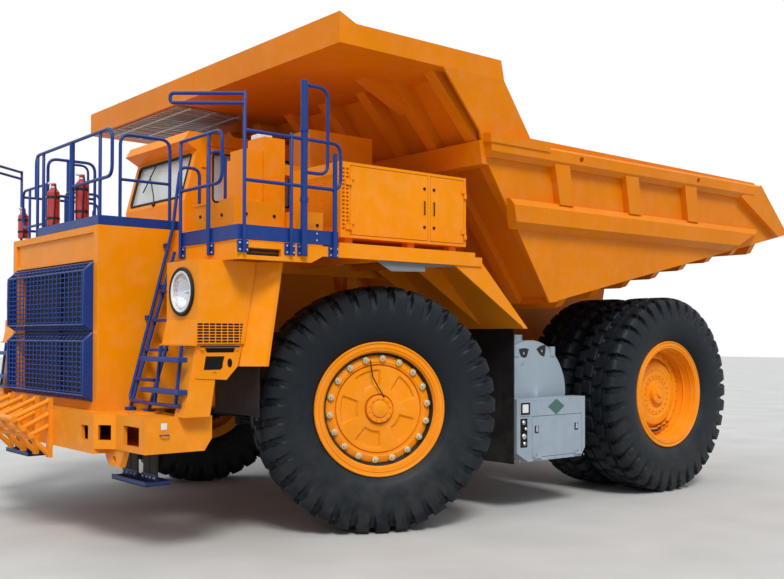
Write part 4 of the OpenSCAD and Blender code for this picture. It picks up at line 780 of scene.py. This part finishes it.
dots = [[EDGE + 12, s + a, h] for s in POSTS for a in (-38, 38) for h in (2905, 2968)]
dots_front = [[x + a, -2284, h] for x in (1830, 2400) for a in (-38, 38) for h in (2905, 2968)]
dots += [[EDGE + 12, -1400, 3040], [EDGE + 12, -1400, 3105]]
piece("rail_bolts", pair([copies(aimed(hex_bolt(20, 10), (1, 0, 0)), dots),
                          copies(aimed(hex_bolt(20, 10), (0, -1, 0)), dots_front)]), steel)

# %% [markdown]
# Each ladder is two tubes with pressed treads between them. Its handrail runs down beside it and
# crosses under it, and the hanging step below swings on rubber straps so that rocks can't tear it off.

# %% Ladders
def climb(h):
    """Station of the ladder at a height: it leans 0.3 forwards for each unit down."""
    return -2110 - (2990 - h) * 0.3


ladder = [tube([[x, climb(2990), 2990], [x, climb(1376), 1376]], 36) for x in (1340, 1756)]
ladder += [block([1344, climb(h) - 40, h], [1752, climb(h) + 40, h + 30], 5) for h in range(1650, 2900, 300)]
ladder += [block([1295, climb(1380) - 45, 1350], [1385, climb(1380) + 45, 1384], 5),
           block([1711, climb(1380) - 45, 1364], [1801, climb(1380) + 45, 1384], 5),
           rail([1300, -1800, 2990], [1300, -1800, 3900], [1300, -2030, 3900], [1300, -2110, 3250],
                [1300, -2590, 1450], [1940, -2650, 1450], [2500, -2650, 1450], r=90),
           rail([1880, -2020, 2990], [1880, -2020, 3990], [1880, -1820, 3990], [1880, -1820, 2990], r=95)]
ladder += [tube([[x, -2588, 2013], [x, -2652, 1440]], 34) for x in (2000, 2420)]
ladder += [block([1800, -2710, h], [2580, -2610, h + 46], 6) for h in (1560, 1860)]
ladder += [block([1231, y - 25, h], [1300, y + 25, h + 40], 4) for h, y in ((3040, -2166), (2280, -2369))]
ladder += [block([1764, -2150, 2880], [1779, -2100, 2920], 3),
           block([1231, -2257, 2600], [1332, -2197, 2640], 4)]
ladder += [block([1200, s0, 650], [1970, s1, high], 3)
           for s0, s1, high in ((-2730, -2470, 662), (-2730, -2716, 700), (-2484, -2470, 700))]
ladder += [block([x, -2720, 652], [x + 14, -2480, 694], 3) for x in range(1206, 1960, 50)]
ladder += [block([x0, -2618, 690], [x1, -2611, 760], 2) for x0, x1 in ((1210, 1550), (1656, 1968))]
obj = piece("ladders_made", pair(ladder), blue)
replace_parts(obj, "ladders")
straps = [block([x0, -2610, 662], [x1, -2590, high], 6)
          for x0, x1, high in ((1220, 1380, 969), (1392, 1540, 969), (1664, 1806, 1019), (1818, 1964, 1019))]
piece("step_straps", pair(straps), rubber)
pins = [[x, -2618, 725] for x in (1250, 1340, 1430, 1510, 1690, 1780, 1850, 1935)]
piece("strap_bolts", pair([copies(aimed(hex_bolt(22, 12), (0, -1, 0)), pins)]), steel)

# %% [markdown]
# The grille guard is woven bar in a folded frame: it keeps stones off the radiator and lets air in.
# Every upright bar could be bent by itself. Four-sided tubes along one folded line look the same
# and keep the piece light.

# %% Grille guards
def sheet_of(corners, push):
    """A flat sheet: four corners, and the same four pushed by its thickness."""
    c = np.asarray(corners, float)
    v = np.concatenate([c, c + push])
    return v, [[3, 2, 1, 0], [4, 5, 6, 7], [0, 1, 5, 4], [1, 2, 6, 5], [2, 3, 7, 6], [3, 0, 4, 7]]


guard, woven = [], []
for low, high in ((1440, 2140), (2160, 2860)):
    fold = [[-2908, low + 4], [-3002, low + 60], [-3002, high - 90], [-2908, high - 4]]
    for x in np.linspace(-1060, 1060, 20):
        woven.append(tube([[x, s, h] for s, h in fold], 14, 0, 4))
    for h in np.linspace(low + 34, high - 44, 13):
        s = np.interp(h, [low + 4, low + 60, high - 90, high - 4], [-2908, -3002, -3002, -2908])
        woven.append(tube([[-1120, s + 4, h], [1120, s + 4, h]], 14, 0, 4))
    for x in (-1118, 1118):
        guard.append(tube([[x, s - 1, h] for s, h in fold], 24, 0, 6))
    for h, s in ((low + 12, -2924), (low + 60, -3000), (high - 90, -3000), (high - 12, -2922)):
        guard.append(tube([[-1122, s, h], [1122, s, h]], 20, 0, 6))
    guard += pair([sheet_of([[1122, -2908, low], [1122, -3005, low + 60], [1122, -3005, high - 90],
                             [1122, -2908, high]], [7, 0, 0])])
obj = piece("guard_frames", guard + woven, blue)
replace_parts(obj, "grille_guards")

# %% [markdown]
# A headlamp is a bowl-shaped mirror behind a moulded glass, in a white ring with a rubber edge. All
# of it is round about one axis, so five profiles are turned about that axis.

# %% Headlamps
LAMP = (2302, 0, 2525)


def lamp_ring(*profile):
    """A ring about the near lamp's axis: each point is a radius and a distance ahead of the front axle."""
    return turned(profile, at=LAMP, axis=(0, -1, 0), n=72, ring=True)


bezel = lamp_ring((214, 2422), (233, 2424), (233, 2540), (226, 2548), (208, 2548), (200, 2538), (200, 2424))
ring_white = lamp_ring((199, 2500), (199, 2540), (192, 2546), (172, 2541), (168, 2528), (168, 2500))
bowl = lamp_ring((167, 2526), (158, 2512), (120, 2480), (70, 2456), (22, 2446), (22, 2440), (120, 2440),
                 (167, 2470))
bulb = turned([(20, 2444), (20, 2470), (16, 2490), (6, 2498)], axis=(0, -1, 0), at=LAMP, n=24)
cover = lamp_ring((167, 2530), (160, 2534), (120, 2541), (60, 2545), (2, 2546), (2, 2541), (60, 2540),
                  (120, 2536), (160, 2529), (167, 2526))
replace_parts(piece("lamp_bezels", pair([bezel]), rubber), "headlamps")
piece("lamp_rings", pair([ring_white]), white)
piece("lamp_bowls", pair([bowl, bulb]), chrome)
piece("lamp_covers", pair([cover]), lens)

# %% [markdown]
# Cab glass is flat sheet set in a black rubber channel. The windscreen leans back with the cab's
# front, so its sheet and its channel follow that plane. Door glass moves with its door.

# %% Cab glass and seals
def seal(corners, d, r=60):
    """A rubber channel round a pane: a tube through the corners, rounded, and closed on itself."""
    c = np.asarray(corners, float)
    start = (c[0] + c[1]) / 2
    path = rounded(np.concatenate([[start], c[1:], c[:1], [start]]), r)
    return tube(path[:-1], d, 0, 8, closed=True)


def front_at(h):
    """Station of the cab's leaning front at a height."""
    return -1240 + (h - 3760) * 170 / 640


def leaning(x0, x1, h0, h1, behind):
    """Four corners that follow the cab's front, moved back by a distance."""
    s0, s1 = front_at(h0) + behind, front_at(h1) + behind
    return [[x0, s0, h0], [x1, s0, h0], [x1, s1, h1], [x0, s1, h1]]


def crosswise(s, x0, x1, h0, h1):
    """Four corners of an upright pane that looks backwards."""
    return [[x0, s, h0], [x1, s, h0], [x1, s, h1], [x0, s, h1]]


def rectangle(x, s0, s1, h0, h1):
    """Four corners of an upright pane that looks sideways."""
    return [[x, s0, h0], [x, s1, h0], [x, s1, h1], [x, s0, h1]]


PANE = 7  # thickness of the glass
panes = [sheet_of(leaning(-1648, -202, 3812, 4368, 26), [0, PANE, 0]),
         sheet_of(crosswise(420, -1456, -394, 3794, 4386), [0, PANE, 0]),
         sheet_of(rectangle(-132, 54, 296, 3794, 4406), [PANE, 0, 0]),
         sheet_of(rectangle(-1725, 54, 296, 3794, 4406), [PANE, 0, 0])]
seals = [seal(leaning(-1640, -210, 3820, 4360, 2), 34), seal(crosswise(452, -1450, -400, 3800, 4380), 30),
         seal(rectangle(-98, 60, 290, 3800, 4400), 26, 40),
         seal(rectangle(-1752, 60, 290, 3800, 4400), 26, 40)]
piece("cab_panes", panes, glass)
piece("cab_seals", seals, rubber)
for name, body, x_glass, x_seal in (("near", "cab_door_near", -124, -99),
                                    ("far", "cab_door_far", -1733, -1751)):
    pane = sheet_of(rectangle(x_glass, -856, -144, 3774, 4386), [PANE, 0, 0])
    piece("door_pane_" + name, [pane], glass, body)
    piece("door_seal_" + name, [seal(rectangle(x_seal, -850, -150, 3780, 4380), 26, 50)], rubber, body)
    out = x_seal + (42 if name == "near" else -42)
    grip = [[x_seal, -150, 3560], [out, -150, 3560], [out, -150, 3400], [x_seal, -150, 3400]]
    piece("door_grip_" + name, [tube(grip, 20, 24, 10)], rubber, body)

# %% [markdown]
# Through the glass one sees a wiper at rest, the rim of the steering wheel and a plain dash. They
# are thin shapes that follow the leaning front or the wheel's own tilt.

# %% Wiper, steering wheel rim and dash face
arm = [[-925, front_at(3790) - 6, 3790], [-960, front_at(3900) - 22, 3900],
       [-1230, front_at(4200) - 20, 4200]]
blade = [[-1330, front_at(3990) - 14, 3990], [-1140, front_at(4330) - 14, 4330]]
wiper = [tube(arm, 14, 60, 8), tube(blade, 16, 0, 6),
         turned([(26, 0), (26, 22), (16, 34), (4, 36)], at=(-925, front_at(3786) + 4, 3786),
                axis=(0, -1, 0.26), n=20)]
piece("wiper", wiper, rubber)
GRIP, LEAN = 210, math.radians(50)  # the steering wheel's radius and tilt
ring_t = np.arange(40) * 2 * np.pi / 40
hoop = [np.cos(ring_t), np.sin(ring_t) * math.cos(LEAN), np.sin(ring_t) * math.sin(LEAN)]
piece("wheel_grip", [tube(GRIP * np.stack(hoop, -1) + [-925, -780, 3830], 36, 0, 12, closed=True)], rubber)
dials = [turned([(46, 0), (46, 8), (40, 12), (36, 6), (1, 6)], at=(x, -998, 3690), axis=(0, 1, 0), n=32)
         for x in (-1120, -1000, -850, -730)]
piece("dash_dials", dials + [block([-1440, -1002, 3520], [-410, -996, 3730], 3)], dark_and_painted_shade)

# %% [markdown]
# The driver's seat is foam in a woven cover: crowned cushions, sides pulled in at the corners, and
# sewn channels across. A rounded block is bulged by a formula, then the channels are pressed in.

# %% Driver's seat
def cushion(low, high, crown, channels, n=26):
    """A closed pad: a cube with n cuts along each edge, its corners rounded off, whose broad faces
    swell by crown times (1-u^2)(1-v^2), and channels press lines across them."""
    low, high = np.array(low, float), np.array(high, float)
    work = bmesh.new()
    bmesh.ops.create_cube(work, size=2.0)
    bmesh.ops.subdivide_edges(work, edges=work.edges, cuts=n, use_grid_fill=True)
    v = np.array([p.co for p in work.verts])
    f = [[p.index for p in q.verts] for q in work.faces]
    work.free()
    thin = int(np.argmin(high - low))
    a, b = [k for k in range(3) if k != thin]
    power = 5.0
    size = (np.abs(v) ** power).sum(1)[:, None]
    v = v / size ** (1 / power) * np.clip(size ** 0.03, 1, 1.2)
    swell = (1 - np.clip(np.abs(v[:, a]), 0, 1) ** 2) * (1 - np.clip(np.abs(v[:, b]), 0, 1) ** 2)
    groove = sum(np.exp(-((v[:, b] - c) / 0.035) ** 2) for c in channels)
    out = v * (high - low) / 2 * 0.97 + (high + low) / 2
    out[:, thin] += np.sign(v[:, thin]) * (np.abs(v[:, thin]) > 0.3) * (crown * swell - 9 * groove * swell)
    return np.clip(out, low, high), f


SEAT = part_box("cab_seat")
x0, x1 = SEAT[0][0] * 1000, SEAT[1][0] * 1000
seat_low = SEAT[0][2] * 1000
s0, s1 = SEAT[0][1] * 1000 + MIDDLE, SEAT[1][1] * 1000 + MIDDLE
CROWN_SEAT, CHANNELS = 20, (-0.5, 0.0, 0.5)
cushion_pad = cushion([x0 + 4, s0 + 4, 3350], [x1 - 4, s1 - 126, 3488], CROWN_SEAT, CHANNELS)
back_pad = cushion([x0 + 10, s1 - 122, 3478], [x1 - 10, s1 - 3, 4136], CROWN_SEAT, CHANNELS)
pad = piece("seat_cushion", [cushion_pad], cloth, crease=80)
back = piece("seat_back", [back_pad], cloth, crease=80)
piece("seat_base", [block([x0 + 50, s0 + 50, seat_low], [x1 - 50, s1 - 80, 3352], 12)], dark_and_painted_shade,
      slot="chassis_black")
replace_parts(pad, "cab_seat")

# %% [markdown]
# Small hardware is what makes boxes read as boxes: latches, slots, a meshed opening and a fender's
# vent. Dark openings could be cut through. Instead a thin dark block on the face paints the shade inside
# them.

# %% Deck boxes and cabinet hardware
BOXES = [[1600, -2015, 1846, -1600, 3460], [1915, -2015, 2400, -1430, 3440],
         [2100, -1420, 2600, -1100, 3360]]
latch = turned([(17, 0), (17, 8), (13, 12), (13, 8), (7, 8), (7, 14), (1, 15)], n=24)
spots_side, spots_front, slots_cut = [], [], []
for box_x0, box_s0, box_x1, box_s1, top in BOXES:
    spots_side += [[box_x1, box_s0 + 0.22 * (box_s1 - box_s0), top - 130],
                   [box_x1, box_s1 - 0.22 * (box_s1 - box_s0), top - 130]]
    spots_front += [[(box_x0 + box_x1) / 2, box_s0, top - 130]]
    slots_cut += [block([box_x1 - 1, box_s0 + 60, top - 420 - 26 * k],
                        [box_x1 + 3, box_s1 - 60, top - 410 - 26 * k], 1) for k in range(3)]
latches = [copies(aimed(latch, (1, 0, 0)), spots_side), copies(aimed(latch, (0, -1, 0)), spots_front)]
piece("box_latches", latches, rubber)
# The slots are dark blocks: painted shade of openings.
piece("box_slots", slots_cut, dark_and_painted_shade)
for name, body, s in (("front", "cabinet_door_front", 190), ("rear", "cabinet_door_rear", 330)):
    handle = [copies(aimed(latch, (1, 0, 0)), [[2700, s, 3300], [2700, s, 3720]]),
              tube([[2698, s, 3440], [2712, s, 3440], [2712, s, 3580], [2698, s, 3580]], 14, 8, 8)]
    piece("cabinet_latch_" + name, handle, rubber, body)
mesh_window = [tube([[x, -949, 3236], [x, -949, 3784]], 7, 0, 4) for x in np.linspace(2036, 2634, 30)]
mesh_window += [tube([[2028, -946, h], [2642, -946, h]], 7, 0, 4) for h in np.linspace(3246, 3774, 27)]
piece("cabinet_mesh", mesh_window, enamel)
piece("meter_box", [block([1330, -1180, 4281], [1500, -1000, 4340], 10)], white)
VENT_LOW, VENT_START = 2044, -2530
FLAP = 2580  # the face that the bracket's holes are in
vents = [block([2611, -2536, 2034], [2615, -2046, 2312], 1)]
holes = []
for start in range(VENT_START, VENT_START + 8 * 65, 65):
    for h in range(VENT_LOW, VENT_LOW + 7 * 27, 27):
        wide = 54 if start < VENT_START + 7 * 65 else 8 + 0.13 * (h - VENT_LOW)
        holes.append(block([2613, start, h], [2616, start + wide, h + 18], 0.5))
bracket_holes = [sheet_of([[FLAP, s, h] for s, h in corners], [2, 0, 0]) for corners in (
    [(-2444, 1788), (-2262, 1788), (-2224, 1914), (-2422, 1914)],
    [(-2411, 1950), (-2128, 1950), (-2110, 1993), (-2432, 1993)])]
bracket_holes += [copies(turned([(43, 0), (43, 2), (1, 2)], axis=(1, 0, 0), n=32), [[FLAP, -2166, 1850]],
                         np.diag([1.0, 0.6, 1.0])[None])]
piece("vent_lips", pair(vents), enamel)
# Vent and bracket holes are dark blocks: painted shade of openings.
piece("vent_holes", pair(holes + bracket_holes), dark_and_painted_shade)
piece("fender_strip", pair([block([2612, -2500, 1998], [2616, -2080, 2012], 1)]), rubber)

# %% [markdown]
# The tank is banded and has lifting eyes. The equipment box beside it has catches on its door, and
# a recess with couplings. Its diamond and small plates stay blank.

# %% Tank, equipment box and bumper hardware
BOX_FACE, TANK_END, THICK = 2700, 2400, 12


def eye_plate(s, h, tilt, n=48):
    """A lifting plate with an eye: two rings of n points on a rounded triangle, whose radius is
    62 / cos(angle from the nearest side's middle)^0.7, and two on the eye."""
    t = np.arange(n) * 2 * np.pi / n
    out = 62 / np.cos((t + np.pi / 2) % (2 * np.pi / 3) - np.pi / 3) ** 0.7
    eye = np.full(n, 18.0)
    rows = []
    for x, r in ((TANK_END, out), (TANK_END + THICK, out), (TANK_END + THICK, eye), (TANK_END, eye)):
        rows.append(np.stack([np.full(n, float(x)), s + r * np.cos(t + tilt), h + r * np.sin(t + tilt)], -1))
    return np.concatenate(rows), grid(4, n, wrap_rows=True)


tank_bands = [turned([(640, x), (646, x + 4), (646, x + 56), (640, x + 60)], at=(0, 2290, 1420),
                     axis=(1, 0, 0), n=96, ring=True) for x in (1180, 1600)]
piece("tank_bands", tank_bands, grey)
piece("tank_cap", [turned([(70, 2400), (70, 2412), (58, 2418), (20, 2418), (16, 2426), (1, 2427)],
                          at=(0, 2060, 1780), axis=(1, 0, 0), n=32)], grey)
piece("tank_lugs", [eye_plate(2090, 1902, 0.0), eye_plate(2420, 1930, 0.3)], black)
catch_at = [(2002, 991), (2731, 991)]
catches = [block([BOX_FACE - 1, y - 34, h - 48], [BOX_FACE + 2, y + 34, h + 42], 1) for y, h in catch_at]
levers = [block([BOX_FACE + 1, y - 17, h - 30], [BOX_FACE + 12, y + 17, h + 20], 3) for y, h in catch_at]
levers += [turned([(12, 0), (12, 8), (1, 9)], at=(BOX_FACE + 1, y, h + 30), axis=(1, 0, 0), n=16)
           for y, h in catch_at]
piece("equipment_latches", catches, rubber, "equipment_door")
piece("equipment_levers", levers, steel, "equipment_door")
tilted = [[BOX_FACE, 2205, 1252], [BOX_FACE, 2355, 1156], [BOX_FACE, 2505, 1252], [BOX_FACE, 2355, 1348]]
piece("blank_plate", [sheet_of(tilted, [3, 0, 0])], plate_green)
piece("small_plate", [block([BOX_FACE + 2, 1752, 1196], [BOX_FACE + 6, 1852, 1296], 1)], white)
piece("device_frame", [seal(rectangle(BOX_FACE + 2, 1712, 1888, 1164, 1322), 15, 12)], grey)
# The recesses are dark blocks: painted shade.
piece("device_recess", [block([BOX_FACE - 1, 1718, 1170], [BOX_FACE + 3, 1882, 1316], 2),
                        block([BOX_FACE - 1, 1716, 784], [BOX_FACE + 2, 1838, 1128], 2)], dark_and_painted_shade)
couplings = [turned([(r, 0), (r, 14), (r - 8, 22), (10, 22), (8, 30), (1, 31)], at=(BOX_FACE + 1, y, h),
                    axis=(1, 0, 0), n=24)
             for y, h, r in ((1764, 1082, 26), (1800, 1004, 20), (1772, 916, 34), (1778, 830, 24))]
piece("tank_couplings", couplings, steel)
rivets = [[BOX_FACE, s, h] for s in np.arange(1700, 2880, 130) for h in (628, 1345)]
piece("box_rivets", [copies(aimed(hex_bolt(16, 7), (1, 0, 0)), rivets)], steel)
piece("bumper_tag", pair([block([2450, -2810, 1240], [2453, -2750, 1300], 1)]), white)
grab = [[2450, -2820, 1190], [2482, -2820, 1190], [2482, -2740, 1190], [2450, -2740, 1190]]
piece("bumper_grab", pair([tube(grab, 12, 12, 8)]), blue)

# %% [markdown]
# Thin bright sheet with pressed beads hangs under the canopy: a painted reflection of the sky in the
# canopy's glossy underside. It rides on the bed, as does the weld down the canopy's front edge.

# %% Bed details: painted reflection sheet and weld
sheets = [block([x, -1150, 4984], [x + 560, -120, 4990], 2) for x in range(-2700, -420, 570)]
sheets += [tube([[x, -1146, 4983], [x, -124, 4983]], 16, 0, 6) for x in np.arange(-2660, -440, 114)]
sheets += [block([-2696, y, 4972], [-430, y + 34, 4984], 3) for y in (-1000, -640, -280)]
piece("canopy_reflection_panel", sheets, painted_reflection_sheet, "bed")
# The weld takes the bed's deeper orange, which is painted shade.
piece("canopy_seam", [tube([[35, -1205, 5010], [35, -1205, 5306]], 12, 0, 6)], enamel_bed_painted_shade, "bed")

# %% [markdown]
# Each bottle stands in two bands, with a lever cap and a short hose whose horn hangs beside it.
# Flaps close the gap under the deck, and pipes and hoses run where the photograph hints at them.

# %% Extinguisher fittings, flaps, pipes and hoses
bands, caps, lines = [], [], []
for x, s, low, high in ((-340, -2765, 3350, 3790), (470, -2765, 3350, 3790), (-2815, -2240, 3430, 3790)):
    bands += [turned([(69, h), (72, h), (72, h + 30), (69, h + 30)], at=(x, s, 0), n=32, ring=True)
              for h in (low + 75, high - 125)]
    caps += [block([x - 17, s - 66, high + 38], [x + 17, s + 26, high + 62], 6),
             turned([(34, 0), (34, 14), (22, 22), (22, 36)], at=(x, s, high), n=24)]
    lines += [tube([[x + 18, s, high + 26], [x + 96, s - 10, high + 20], [x + 96, s - 16, high - 160],
                    [x + 80, s - 20, low + 90]], 18, 50, 8),
              turned([(9, 0), (9, 30), (17, 90), (14, 92)], at=(x + 80, s - 20, low + 100),
                     axis=(-0.1, 0, -1), n=16)]
piece("bottle_bands", bands, black)
piece("bottle_caps", caps, white)
piece("bottle_hoses", lines, rubber)
flaps = [sheet_of([[2850, -620, 2889], [2850, -400, 2785], [2850, 66, 2800], [2850, 66, 2889]], [6, 0, 0]),
         sheet_of([[2850, 72, 2889], [2850, 72, 2852], [2850, 820, 2884], [2850, 820, 2889]], [6, 0, 0])]
piece("deck_flaps", pair(flaps), grey_flap)
slot_pipes = [tube([[2846, -2200, h], [2846, -1780, h]], 26, 0, 10) for h in (2878, 2912)]
piece("slot_pipes", pair(slot_pipes), black)
hose_runs = [tube(run, d, 200, 10) for run, d in (
    ([[700, -1500, 1500], [960, -1340, 1330], [1090, -900, 1240], [1150, -420, 1360]], 42),
    ([[640, -1500, 1430], [880, -1380, 1250], [1020, -940, 1160], [1090, -460, 1280]], 34))]
piece("axle_hoses", pair(hose_runs), rubber)

# %% [markdown]
# The floor is a plain pale ground that only catches the shadow. It isn't part of the truck.

# %% Floor and finish
ground = finish("pale_ground", (0.50, 0.50, 0.49), 0.9, dust=0.0, mud=0.0, skin=6.0, relief=0.15)
floor_mesh = bpy.data.meshes.new("floor")
floor_mesh.from_pydata([(-90, -90, 0), (90, -90, 0), (90, 90, 0), (-90, 90, 0)], [], [(0, 1, 2, 3)])
floor_mesh.materials.append(ground)
floor = bpy.data.objects.new("floor", floor_mesh)
scene.collection.objects.link(floor)
scene.view_settings.view_transform = "Standard"
